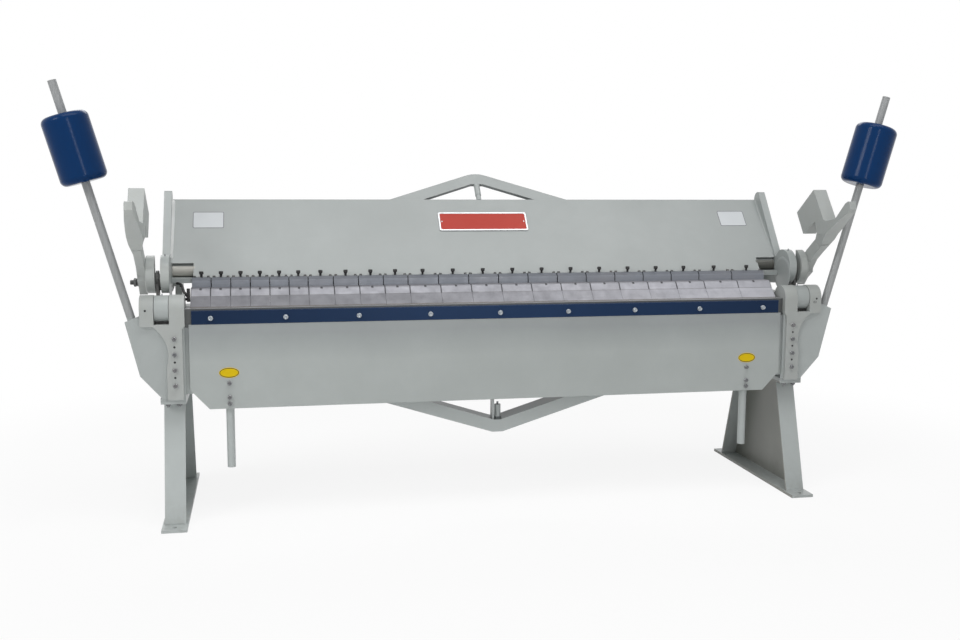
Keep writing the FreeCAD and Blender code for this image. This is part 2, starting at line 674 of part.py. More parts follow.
def beam_end():
    """End plate of the beam with the hub of the clamp shaft and the arm to the pivot."""
    hub_depth, hub_height = HUB
    pivot_depth, pivot_height = PIVOT
    arm_high = KNUCKLE_X - SIDE_GAP
    arm_low = arm_high - ARM_THICKNESS
    plate = side_plate(
        BEAM_END_X, BEAM_END_FACE_X, (hub_depth, hub_height - BEAM_END_FOOT),
        *BEAM_END_REAR, BEAM_END_CROWN, *BEAM_END_EDGE,
    )
    collar_room = x_cylinder(SHAFT_COLLAR_RADIUS + SIDE_GAP, HUB_FACE_X, BEAM_END_FACE_X + PAST, SHAFT)
    hub = x_cylinder(HUB_RADIUS, HUB_INNER_X, HUB_FACE_X, HUB)
    spacer = side_plate(arm_low, BEAM_END_X, *ARM_TOP)
    front_edge, _, top_rear, rear_edge = ARM_TOP
    arm = side_plate(
        arm_low, arm_high, ARM_TOP[1], top_rear, rear_edge,
        (pivot_depth + PIVOT_BOSS_RADIUS, pivot_height), (pivot_depth - PIVOT_BOSS_RADIUS, pivot_height),
        (front_edge[0], front_edge[1] - ARM_SHOULDER), front_edge,
    )
    boss = x_cylinder(PIVOT_BOSS_RADIUS, arm_low, arm_high, PIVOT)
    bore = x_cylinder(SHAFT_RADIUS + RUNNING_FIT, HUB_INNER_X - PAST, END_FRAME_FACE_X + PAST, SHAFT)
    pivot_bore = x_cylinder(PIVOT_PIN_RADIUS + RUNNING_FIT, arm_low - PAST, arm_high + PAST, PIVOT)
    return fused(plate.cut(collar_room), hub, spacer, arm, boss).cut(bore.fuse(pivot_bore))


def in_face(x_along_pairs, inward_low, inward_high):
    """A plate lying in the beam's leaning face, from its outline in (x, distance up the face)."""
    points = [place(x, *face_point(along, inward_low)) for x, along in x_along_pairs]
    face = Part.Face(Part.makePolygon(points + points[:1]))
    low = side_point(face_point(0, inward_low))
    high = side_point(face_point(0, inward_high))
    return face.extrude(high - low)


def upper_truss():
    """Flat vee of plate standing on the beam's top edge."""
    outer = [(x, BEAM_FACE_LENGTH + rise) for x, rise in UPPER_TRUSS_OUTER]
    inner = [(x, BEAM_FACE_LENGTH + rise) for x, rise in UPPER_TRUSS_INNER]
    mirrored_outer = [(-x, along) for x, along in reversed(outer)]
    mirrored_inner = [(-x, along) for x, along in reversed(inner)]
    return in_face(outer + mirrored_outer + mirrored_inner + inner, *UPPER_TRUSS_FACES)


def upper_truss_strut():
    """Jack screw standing on the beam's top edge, and the round strut from it to the apex."""
    middle = sum(UPPER_TRUSS_FACES) / 2
    start = side_point(face_point(BEAM_FACE_LENGTH, middle))
    shoulder = side_point(face_point(BEAM_FACE_LENGTH + UPPER_SCREW_LENGTH, middle))
    end = side_point(face_point(BEAM_FACE_LENGTH + UPPER_TRUSS_INNER[0][1], middle))
    axis = end - start
    pipe = Part.makeCylinder(UPPER_STRUT_RADIUS, (end - shoulder).Length, shoulder, axis)
    screw = Part.makeCylinder(UPPER_SCREW_RADIUS, UPPER_SCREW_LENGTH, start, axis)
    return fused(pipe, screw)


def finger_rail():
    half = HUB_INNER_X - PAST
    return block((-half, half), (RAIL_FRONT, RAIL_FRONT + RAIL_DEPTH), (RAIL_BOTTOM, BEAM_FOOT[1]))


def finger(x_low, width):
    """A clamping finger: nose, sole, throat relief and the tongue held under the rail."""
    low = x_low + FINGER_GAP / 2
    high = x_low + width - FINGER_GAP / 2
    brow_rear = BROW_TOP[0] + BROW_WIDTH
    body = side_plate(
        low, high, (NOSE_SETBACK, 0), (SOLE_LENGTH, 0), (TONGUE_START, TONGUE_BOTTOM),
        (TONGUE_END, TONGUE_BOTTOM), (TONGUE_END, RAIL_BOTTOM), (RAIL_FRONT, RAIL_BOTTOM),
        (RAIL_FRONT, FINGER_TOP), (brow_rear, FINGER_TOP), BROW_TOP, NOSE_TOP,
    )
    notch_top = place((low + high) / 2, brow_rear - 2 * JAW_GAP, FINGER_TOP + JAW_GAP)
    return body.cut(Part.makeCone(*NOTCH_RADII, NOTCH_DEPTH, notch_top, Vector(0, 0, -1)))


def clamp_block(x_low, width):
    low = x_low + BLOCK_SIDE_GAP / 2
    high = x_low + width - BLOCK_SIDE_GAP / 2
    step_height = BEAM_FOOT[1] - PAST
    rear = BEAM_FOOT[0] - PAST
    return side_plate(
        low, high, (BLOCK_FRONT, FINGER_TOP), (RAIL_FRONT, FINGER_TOP),
        (RAIL_FRONT, step_height), (rear, step_height), (rear, BLOCK_TOP),
        (BLOCK_TOP_START, BLOCK_TOP), (BLOCK_FRONT + BLOCK_LEAN, FINGER_TOP + BLOCK_FRONT_HEIGHT),
    )


def thumb_screw(x):
    """A cone-headed screw standing on a clamp block."""
    quarter = THUMB_HEIGHT / 4
    shank_top = BLOCK_TOP + quarter
    shank = z_cylinder(THUMB_SHANK_RADIUS, x, SCREW_DEPTH, BLOCK_TOP, shank_top)
    cone_base = place(x, SCREW_DEPTH, shank_top)
    cone = Part.makeCone(THUMB_SHANK_RADIUS, THUMB_RADIUS, 2 * quarter, cone_base)
    knob = z_cylinder(THUMB_RADIUS, x, SCREW_DEPTH, shank_top + 2 * quarter, BLOCK_TOP + THUMB_HEIGHT)
    return fused(shank, cone, knob)


def block_bolt(x):
    washer_top = BLOCK_TOP + BLOCK_WASHER
    washer = z_cylinder(BLOCK_WASHER_RADIUS, x, SCREW_DEPTH, BLOCK_TOP, washer_top)
    seat = place(x, SCREW_DEPTH, washer_top)
    return fused(washer, hex_prism(BLOCK_BOLT_FLAT, BLOCK_BOLT_HEAD, seat, Vector(0, 0, 1)))


def cross_section(upper, lower, width):
    """A rectangle through two points of the handle's side view, for lofting."""
    low = HANDLE_CENTRE_X - width / 2
    high = HANDLE_CENTRE_X + width / 2
    corners = [(upper, low), (upper, high), (lower, high), (lower, low), (upper, low)]
    return Part.makePolygon([side_point(pair, x) for pair, x in corners])


def loft(sections):
    return Part.makeLoft([cross_section(*section) for section in sections], True, True)


def clamp_handle():
    """Cam disc, cranked arm with its tail, notched block and tapered grip, as one casting."""
    arm_low = HANDLE_CENTRE_X - HANDLE_ARM_WIDTH / 2
    arm_high = HANDLE_CENTRE_X + HANDLE_ARM_WIDTH / 2
    disc = x_cylinder(HUB_RADIUS, HANDLE_X, arm_low, HUB)
    rim = [edge for edge in disc.Edges if edge.BoundBox.XMin > arm_low - PAST]
    disc = disc.makeChamfer(DISC_CHAMFER, rim)
    behind = (DISC_REAR, HUB[0] + HUB_RADIUS + PAST)
    heights = (HUB[1] - HUB_RADIUS - PAST, HUB[1] + HUB_RADIUS + PAST)
    disc = disc.cut(block((HANDLE_X - PAST, arm_low + PAST), behind, heights))
    boss = x_cylinder(SHAFT_BOSS_RADIUS, HANDLE_X, arm_low, SHAFT)
    tail_depth, tail_height = HANDLE_TAIL
    slant = HANDLE_TAIL_RADIUS * math.cos(math.pi / 4)
    tail_top = (tail_depth + slant, tail_height + slant)
    tail_end = (tail_depth + HANDLE_TAIL_RADIUS, tail_height)
    tail_foot = (tail_depth, tail_height - HANDLE_TAIL_RADIUS)
    arm = side_plate(
        arm_low, arm_high, *HANDLE_ARM_BACK, tail_top, (tail_end, tail_foot), *HANDLE_ARM_FRONT,
    )
    half = HANDLE_WIDTH / 2
    head = side_plate(HANDLE_CENTRE_X - half, HANDLE_CENTRE_X + half, *HANDLE_HEAD)
    body = fused(disc, boss, arm, loft(HANDLE_ELBOW), head, loft(HANDLE_GRIP), loft(HANDLE_TIP))
    return body.cut(x_cylinder(NECK_RADIUS + SEAT_FIT, HANDLE_X - PAST, arm_high + PAST, SHAFT))


def eccentric():
    """Clamp shaft: journal in the hub, collar, offset lobe in the link, and neck in the handle."""
    lobe_low = END_FRAME_FACE_X + SIDE_GAP / 2
    journal = x_cylinder(SHAFT_RADIUS, HUB_INNER_X, lobe_low, SHAFT)
    collar = x_cylinder(SHAFT_COLLAR_RADIUS, HUB_FACE_X + SIDE_GAP / 4, lobe_low, SHAFT)
    lobe = x_cylinder(ECCENTRIC_RADIUS, lobe_low, HANDLE_X, LOBE_CENTRE)
    neck = x_cylinder(NECK_RADIUS, HANDLE_X, HANDLE_CENTRE_X + HANDLE_ARM_WIDTH / 2, SHAFT)
    return fused(journal, collar, lobe, neck)


def clamp_link():
    """Drag link from the eccentric down to the anchor pin on the end frame."""
    low = LINK_X
    high = LINK_X + LINK_THICKNESS
    depth, eye_height = LOBE_CENTRE
    eye_bore_radius = ECCENTRIC_RADIUS + RUNNING_FIT
    foot_bore_radius = LINK_PIN_RADIUS + LINK_CLEARANCE
    shank = block((low, high), (depth - LINK_SHANK / 2, depth + LINK_SHANK / 2), (LINK_PIN[1], eye_height))
    eye = x_cylinder(eye_bore_radius + LINK_WALL, low, high, LOBE_CENTRE)
    foot = x_cylinder(foot_bore_radius + LINK_FOOT_WALL, low, high, LINK_PIN)
    eye_bore = x_cylinder(eye_bore_radius, low - PAST, high + PAST, LOBE_CENTRE)
    foot_bore = x_cylinder(foot_bore_radius, low - PAST, high + PAST, LINK_PIN)
    return fused(eye, foot, shank).cut(eye_bore.fuse(foot_bore))


def hinge_casting():
    """Forked hinge head on a bolted strip: two ears, the web between them and the fillet below."""
    flat = -EAR_FLAT
    back = EAR_RADIUS * math.cos(math.pi / 4)
    ears = []
    for low, high in ((INNER_EAR_X, INNER_EAR_X + INNER_EAR_WIDTH), (OUTER_EAR_X, EAR_END_X)):
        ears.append(side_plate(
            low, high, (flat, HEAD_BOTTOM), (flat, 0),
            ((back, back), (back, -back)), (EAR_BACK, HEAD_BOTTOM),
        ))
    web = block((INNER_EAR_X, EAR_END_X), (flat, flat + WEB_DEPTH), (HEAD_BOTTOM, SLOT_FLOOR))
    strip_low = CASTING_STRIP_X
    strip_high = strip_low + CASTING_STRIP_WIDTH
    fillet = tuple((strip_high + x, HEAD_BOTTOM + height) for x, height in HEAD_FILLET)
    strip = front_plate(
        flat, APRON_FRONT, (strip_low, CASTING_BOTTOM), (strip_high, CASTING_BOTTOM),
        (strip_high, HEAD_BOTTOM - FILLET_FOOT), fillet,
        (EAR_END_X, HEAD_BOTTOM), (EAR_END_X, SLOT_FLOOR), (INNER_EAR_X, SLOT_FLOOR),
        (INNER_EAR_X, HEAD_BOTTOM), (strip_low, HEAD_BOTTOM - CASTING_INSET),
    )
    bore_ends = (INNER_EAR_X + PIN_INSET, EAR_END_X + PAST)
    casting = fused(strip, web, *ears).cut(x_cylinder(HINGE_PIN_RADIUS + SEAT_FIT, *bore_ends, (0, 0)))
    holes = [bolt_hole(casting_bolt_x(), height) for height in casting_bolt_heights()]
    return casting.cut(Part.makeCompound(holes))


def casting_bolt_x():
    return CASTING_STRIP_X + CASTING_STRIP_WIDTH / 2


def casting_bolt_heights():
    return [CASTING_BOLT_TOP - k * CASTING_BOLT_PITCH for k in range(CASTING_BOLTS)]


def apron_panel():
    """Front sheet with cut corners, bottom lip, and a doubler behind each hinge casting."""
    rear = APRON_REAR
    half = APRON_HALF
    top = CAP_TOP - CAP_HEIGHT
    corner_top = APRON_BOTTOM + CHAMFER_HEIGHT
    sheet = front_plate(
        APRON_FRONT, rear, (-half + CHAMFER_WIDTH, APRON_BOTTOM), (half - CHAMFER_WIDTH, APRON_BOTTOM),
        (half, corner_top), (half, top), (-half, top), (-half, corner_top),
    )
    lip_half = PULL_HANDLE_X - 2 * PULL_HANDLE_RADIUS
    lip_heights = (APRON_BOTTOM, APRON_BOTTOM + APRON_THICKNESS)
    lip = block((-lip_half, lip_half), (rear, rear + APRON_LIP), lip_heights)
    outer = INNER_EAR_X + CASTING_STRIP_WIDTH + DOUBLER_REACH
    doubler_heights = (APRON_BOTTOM + DOUBLER_BOTTOM, APRON_BAR_BOTTOM - PAST)
    doublers = []
    for side in (-1, 1):
        ends = sorted((side * (half - DOUBLER_OVERLAP), side * outer))
        doublers.append(block(ends, (rear, rear + DOUBLER_THICKNESS), doubler_heights))
    holes = []
    for side in (-1, 1):
        holes += [bolt_hole(side * casting_bolt_x(), height) for height in casting_bolt_heights()]
        holes += [bolt_hole(side * PULL_HANDLE_X, height) for height in PULL_BOLT_HEIGHTS]
    return fused(sheet, lip, *doublers).cut(Part.makeCompound(holes))


def bolt_hole(x, height):
    """A through hole square to the apron, long enough for every plate of the stack."""
    start = place(x, -EAR_FLAT - PAST, height)
    return Part.makeCylinder(BOLT_SHANK_RADIUS + SEAT_FIT, EAR_FLAT + PAST, start, Vector(0, 1, 0))


def apron_edge_bar():
    heights = (APRON_BAR_BOTTOM, APRON_BAR_TOP)
    bar = block((-INNER_EAR_X, INNER_EAR_X), (APRON_REAR, APRON_BAR_REAR), heights)
    return bar.cut(cap_bolt_holes())


def cap_bolt_places():
    return [(k - (CAP_BOLTS - 1) / 2) * CAP_BOLT_PITCH for k in range(CAP_BOLTS)]


def cap_bolt_height():
    return CAP_TOP - CAP_HEIGHT / 2 - CAP_BOLT_DROP


def cap_bolt_holes():
    return Part.makeCompound([bolt_hole(x, cap_bolt_height()) for x in cap_bolt_places()])


def apron_stiffener():
    """Painted cap bar bolted along the top of the apron."""
    front = APRON_FRONT - CAP_PROUD
    bar = block((-CAP_HALF, CAP_HALF), (front, APRON_REAR), (CAP_TOP - CAP_HEIGHT, CAP_TOP))
    front_y = place(0, front, 0).y
    front_edges = [edge for edge in bar.Edges if edge.BoundBox.YMax < front_y + PAST]
    return bar.makeChamfer(CAP_CHAMFER, front_edges).cut(cap_bolt_holes())


def apron_bolts():
    """All the hexagon bolts of the apron, each with its washer."""
    seats = [(x, APRON_FRONT - CAP_PROUD, cap_bolt_height(), CAP_BOLT_LENGTH) for x in cap_bolt_places()]
    for side in (-1, 1):
        for height in casting_bolt_heights():
            seats.append((side * casting_bolt_x(), -EAR_FLAT, height, CASTING_BOLT_LENGTH))
        for height in PULL_BOLT_HEIGHTS:
            seats.append((side * PULL_HANDLE_X, APRON_FRONT, height, PULL_BOLT_LENGTH))
    forward = Vector(0, -1, 0)
    return Part.makeCompound([
        hex_bolt(place(x, depth, height), forward, length) for x, depth, height, length in seats
    ])


def rod_point(along):
    """The balance rod's centre line, measured up from where it passes the wing plate."""
    x = WING_INNER_X + ROD_AT_WING + along * math.sin(ROD_LEAN)
    depth = APRON_FRONT + WING_THICKNESS + ROD_RADIUS
    return place(x, depth, ROD_WING_HEIGHT + along * math.cos(ROD_LEAN))


def balance_arm():
    """Wing plate behind the hinge strip, with the leaning rod welded to its back."""
    base = WING_INNER_X
    outer_edge = [(base + x, height) for x, height in (WING_BOTTOM_OUTER, WING_WAIST, WING_TOP_OUTER)]
    wing = front_plate(
        APRON_FRONT, APRON_FRONT + WING_THICKNESS, (base, WING_BOTTOM_OUTER[1]), *outer_edge,
        (EAR_END_X, WING_TOP_OUTER[1] + WING_SHOULDER), (EAR_END_X, HEAD_BOTTOM), (base, HEAD_BOTTOM),
    )
    holes = [bolt_hole(casting_bolt_x(), height) for height in casting_bolt_heights()]
    start = rod_point(-ROD_OVERLAP)
    end = rod_point(ROD_LENGTH)
    rod = Part.makeCylinder(ROD_RADIUS, (end - start).Length, start, end - start)
    back = APRON_FRONT + WING_THICKNESS
    weld = front_plate(back, back + ROD_RADIUS, *weld_outline())
    return fused(wing.cut(Part.makeCompound(holes)), rod, weld)


def weld_outline():
    """The strip of weld along both sides of the rod's foot."""
    low = rod_point(-ROD_OVERLAP + WELD_ENDS[0])
    high = rod_point(-WELD_ENDS[1])
    corners = [(low, -WELD_WIDTH), (low, WELD_WIDTH), (high, WELD_WIDTH), (high, -WELD_WIDTH)]
    return [(point.x + aside, point.z - BEND_HEIGHT) for point, aside in corners]


def counterweight():
    """A round weight with rolled edges, bored for the balance rod."""
    start = rod_point(WEIGHT_START)
    axis = rod_point(WEIGHT_START + WEIGHT_LENGTH) - start
    body = Part.makeCylinder(WEIGHT_RADIUS, WEIGHT_LENGTH)
    rims = [edge for edge in body.Edges if edge.Curve.TypeId == "Part::GeomCircle"]
    body = body.makeFillet(WEIGHT_EDGE, rims)
    below = Vector(0, 0, -PAST)
    body = body.cut(Part.makeCylinder(ROD_RADIUS + WEIGHT_FIT, WEIGHT_LENGTH + 2 * PAST, below))
    body.Placement = FreeCAD.Placement(start, FreeCAD.Rotation(Vector(0, 0, 1), axis))
    return body


def pull_handle(x):
    """A pipe handle bolted behind the panel and reaching down under it."""
    depth = APRON_REAR + PULL_HANDLE_RADIUS
    pipe = z_cylinder(PULL_HANDLE_RADIUS, x, depth, PULL_HANDLE_BOTTOM, PULL_HANDLE_TOP)
    bore_radius = PULL_HANDLE_RADIUS - PULL_HANDLE_WALL
    bore_top = APRON_BOTTOM - PULL_HANDLE_PLUG
    bore = z_cylinder(bore_radius, x, depth, PULL_HANDLE_BOTTOM - PAST, bore_top)
    holes = [bolt_hole(x, height) for height in PULL_BOLT_HEIGHTS]
    return pipe.cut(Part.makeCompound([bore] + holes))


def frame_bolts():
    """Bolts that hold the end frames on the stands, with nuts beneath."""
    nut_bottom = -END_FRAME_HEIGHT - STAND_TOP_THICKNESS - FRAME_NUT
    up = Vector(0, 0, 1)
    bolts = []
    for x, depth in frame_bolt_places():
        bolt = hex_bolt(place(x, depth, FRAME_FOOT_TOP), up, FRAME_BOLT_LENGTH)
        bolts.append(fused(bolt, hex_prism(BOLT_FLAT, FRAME_NUT, place(x, depth, nut_bottom), up)))
    return both_sides(bolts)


# The fixed frame
export_pair("stand", stand())
export_pair("end_frame", end_frame())
export("hinge_bushings", both_sides([hinge_bushing()]))
export("frame_pivot_pins", both_sides(pivot_pins()))
export("frame_bolts", frame_bolts())
export("bed_beam", bed_beam())
export("bed_edge_bar", bed_edge_bar())
export("lower_truss", lower_truss())
export("lower_truss_strut", lower_truss_strut())

# The swinging top beam with its row of fingers
export("beam_plate", beam_plate())
export_pair("beam_end", beam_end())
export("upper_truss", upper_truss())
export("upper_truss_strut", upper_truss_strut())
export("finger_rail", finger_rail())
blocks = []
thumb_screws = []
block_bolts = []
x_low = -HALF_ROW
for number, width in enumerate(FINGER_WIDTHS, 1):
    export("finger_%02d" % number, finger(x_low, width))
    blocks.append(clamp_block(x_low, width))
    thumb_screws.append(thumb_screw(x_low + width / 2))
    for side in (-1, 1):
        bolt_offset = width / 2 - BLOCK_SCREW_INSET - BLOCK_SIDE_GAP / 2
        block_bolts.append(block_bolt(x_low + width / 2 + side * bolt_offset))
    x_low += width
export("clamp_blocks", Part.makeCompound(blocks))
export("thumb_screws", Part.makeCompound(thumb_screws))
export("clamp_block_bolts", Part.makeCompound(block_bolts))

# Clamp handles, their eccentric shafts and the links that pull the beam down
export_pair("clamp_handle", clamp_handle())
export_pair("eccentric_shaft", eccentric())
export_pair("clamp_link", clamp_link())

# The apron with its hinges, balance arms and pull handles
export("apron_panel", apron_panel())
export("apron_edge_bar", apron_edge_bar())
export("apron_stiffener", apron_stiffener())
export("apron_bolts", apron_bolts())
export_pair("hinge_casting", hinge_casting())
export("hinge_pins", both_sides([hinge_pin()]))
export_pair("balance_arm", balance_arm())
export("pull_handles", both_sides([pull_handle(PULL_HANDLE_X)]))
export_pair("counterweight", counterweight())
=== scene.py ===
import bpy
import json
import math
from mathutils import Matrix, Vector


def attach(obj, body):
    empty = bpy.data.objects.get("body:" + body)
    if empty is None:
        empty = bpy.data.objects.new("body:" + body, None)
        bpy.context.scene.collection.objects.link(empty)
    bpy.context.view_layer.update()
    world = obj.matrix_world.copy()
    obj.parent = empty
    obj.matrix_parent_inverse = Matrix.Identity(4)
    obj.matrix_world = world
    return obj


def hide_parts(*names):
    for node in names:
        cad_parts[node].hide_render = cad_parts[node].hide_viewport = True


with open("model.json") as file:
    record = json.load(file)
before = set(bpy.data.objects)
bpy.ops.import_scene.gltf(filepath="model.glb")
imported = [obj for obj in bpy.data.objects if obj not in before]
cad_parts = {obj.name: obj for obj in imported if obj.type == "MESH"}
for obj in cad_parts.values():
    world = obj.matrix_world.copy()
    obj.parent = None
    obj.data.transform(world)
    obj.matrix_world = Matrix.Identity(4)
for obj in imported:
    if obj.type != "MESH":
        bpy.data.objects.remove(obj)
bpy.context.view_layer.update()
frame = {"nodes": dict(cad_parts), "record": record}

# The solids are laid out from the bend line, in millimetres: depth behind it and height above it
FOOT_CENTRE_DEPTH = 233.0
BEND_HEIGHT = 838.0
INCH = 25.4

# Finger row and clamp blocks
HALF_ROW = 1219.2
FINGER_WIDTHS = [3 * INCH] * 6 + [4 * INCH] * 4 + [5 * INCH] * 10 + [6 * INCH] * 2
BLOCK_TOP = 106.0
BLOCK_BOLT_INSET = 11.0
SCREW_DEPTH = 139.0

# Top beam: its leaning plate, end plates, hubs and the shafts in them
BEAM_FOOT = (147.0, 103.0)
BEAM_SLOPE = math.radians(48.9)
BEAM_END_X = 1303.6
RIB_PITCH = 386.4
HUB_INNER_X = 1297.6
HUB_MIDDLE_X = 1314.0
HUB_AXIS = (110.0, 124.0)
HUB_RADIUS = 74.9
SHAFT_AXIS = (105.0, 93.0)
TAIL_STUD = (1417.6, 190.0, 85.0)
NAME_PLATE_X = 1.0
NAME_PLATE_ALONG = 281.0
LABEL_X = 1157.5
LABEL_ALONG = 296.0

# Apron: cap bar, hinge castings with their bolted strips, pull handles and balance arms
APRON_FRONT = -40.0
CAP_FRONT = -41.5
CAP_BOLT_PITCH = 285.4
CAP_BOLT_HEIGHT = -36.5
EAR_FRONT = -53.0
STRIP_X = 1278.2
STRIP_BOLT_TOP = -113.0
STRIP_BOLT_PITCH = 60.4
SET_SCREW_HEIGHTS = (-144.0, -203.0, -263.0)
DOWEL_X = 1382.0
DOWEL_HEIGHT = -2.0
EAR_PLUG = (1374.9, EAR_FRONT, -16.3)
SLOT_RADIUS = 52.6
PULL_X = 1076.5
PULL_BOLT_HEIGHTS = (-292.0, -348.0, -373.0)
OVAL_HEIGHT = -251.0
WING_FOOT_X = 1240.2
ROD_OUT = 197.5
ROD_LEAN = math.radians(15.65)

# Frame: hinge knuckles, end frames and floor stands
KNUCKLE_X = 1323.7
KNUCKLE_RADIUS = 50.9
NIPPLE_LEAN = math.radians(15)
FRAME_FOOT_TOP = -348.0
STAND_TOP_UNDER = -371.0
FLOOR_PLATE_TOP = -826.0
FRAME_BOLT_XS = (1269.2, 1311.2)
FRAME_BOLT_DEPTHS = (-8.0, 466.0)
LEG_INNER_X = 1250.7
LEG_OUTER_X = 1329.7
UPRIGHT_INNER_X = 1297.2
TRUSS_END_XS = (952.0, 1106.0)
TRUSS_END_HEIGHT = -198.5

# Where a tone begins and where it is full, in metres in the frame's axes
TONE_REACH = (-1.35, 1.35)
NOSE_TOP = 0.8782
NOSE_FOOT = (0.8418, 0.8396)
NOTCH_SIDE = (0.0052, 0.0042)
NOTCH_FOOT = (0.8995, 0.9010)
NOTCH_BACK = (-0.1620, -0.1630)
FINGER_REACH = (-1.25, 1.25)
BLOCK_SHADE = (0.9315, 0.933)
WING_TOP = (0.802, 0.812)
HUB_TOP = (1.012, 0.996)
POCKET_TOP = (0.986, 0.984)
POCKET_FRONT = (-0.057, -0.055)
RIGHT_POCKET = (1.205, 1.210)
LEFT_POCKET = (-1.205, -1.210)
UPPER_TRUSS = (1.20, 1.22)
RIGHT_STAND = (1.10, 1.15)
LOWER_TRUSS_FOOT = (0.300, 0.310)
LOWER_TRUSS_TOP = (0.485, 0.480)
APRON_SHADE_RAMP = (0.655, 0.765)
BAR_MIDDLE = (1.15, 0.15)
FOOT_DUST = (0.16, 0.0)

GREY = (0.405, 0.436, 0.430)
CAST = (0.402, 0.424, 0.414)
# Near-black for oil and painted shade in the fingers' seams and notches
OIL_AND_SHADE = (0.030, 0.030, 0.034)

# Camera: place in metres, turn to the right, down and round its own axis in degrees
CAMERA_PLACE = (-0.930, -4.5381, 1.340)
CAMERA_TURN = (11.216, 7.431, 0.256)
SENSOR_WIDTH = 36.0
LENS = 40.71
SIGHT = 60.0

# Lamps: place, aim, size and power
LAMPS = {
    "overhead_softbox": ((0.4, -2.9, 9.0), (0, -0.4, 0.5), (9.0, 4.5), 430.0),
    "left_softbox": ((-6.2, -4.4, 4.6), (-0.5, 0, 0.5), (2.4, 2.4), 150.0),
    "front_strip": ((0.55, -6.7, 1.9), (0, 0, 0.7), (0.8, 3.2), 50.0),
    "rear_softbox": ((0.5, 7.0, 6.2), (0, 0.2, 0.6), (7.0, 2.6), 170.0),
}
FLOOR_SIZE = 60
FLOOR_GREY = (0.92, 0.92, 0.92, 1)
FLOOR_FADE = (1.9, 3.4)
FLOOR_GLOW = 0.86
WORLD_LIGHT = 0.22

UP = Vector((0, 0, 1))
FORWARD = Vector((0, -1, 0))
SIDES = ((-1, "left"), (1, "right"))


def at(x, depth, height):
    """A point laid out from the bend line, in metres in the frame's axes."""
    return Vector((x, depth - FOOT_CENTRE_DEPTH, height + BEND_HEIGHT)) / 1000


def standing(base, axis, spin=0.0):
    """The placement of a piece modelled in millimetres along +Z, standing on base along axis."""
    turn = UP.rotation_difference(Vector(axis)).to_matrix().to_4x4()
    return Matrix.Translation(base) @ turn @ Matrix.Rotation(spin, 4, "Z") @ Matrix.Scale(0.001, 4)


def raised(placement, height):
    return placement @ Matrix.Translation((0, 0, height))


def add_camera():
    data = bpy.data.cameras.new("camera")
    data.sensor_width = SENSOR_WIDTH
    data.lens = LENS
    data.clip_end = SIGHT
    camera = bpy.data.objects.new("camera", data)
    yaw, pitch, roll = (math.radians(turn) for turn in CAMERA_TURN)
    level = Vector((math.sin(yaw), math.cos(yaw), 0))
    forward = level * math.cos(pitch) - UP * math.sin(pitch)
    right = Vector((math.cos(yaw), -math.sin(yaw), 0))
    up = right.cross(forward)
    rolled_right = right * math.cos(roll) + up * math.sin(roll)
    rolled_up = up * math.cos(roll) - right * math.sin(roll)
    turn = Matrix((rolled_right, rolled_up, -forward)).transposed().to_4x4()
    camera.matrix_world = Matrix.Translation(CAMERA_PLACE) @ turn
    bpy.context.scene.collection.objects.link(camera)
    bpy.context.scene.camera = camera


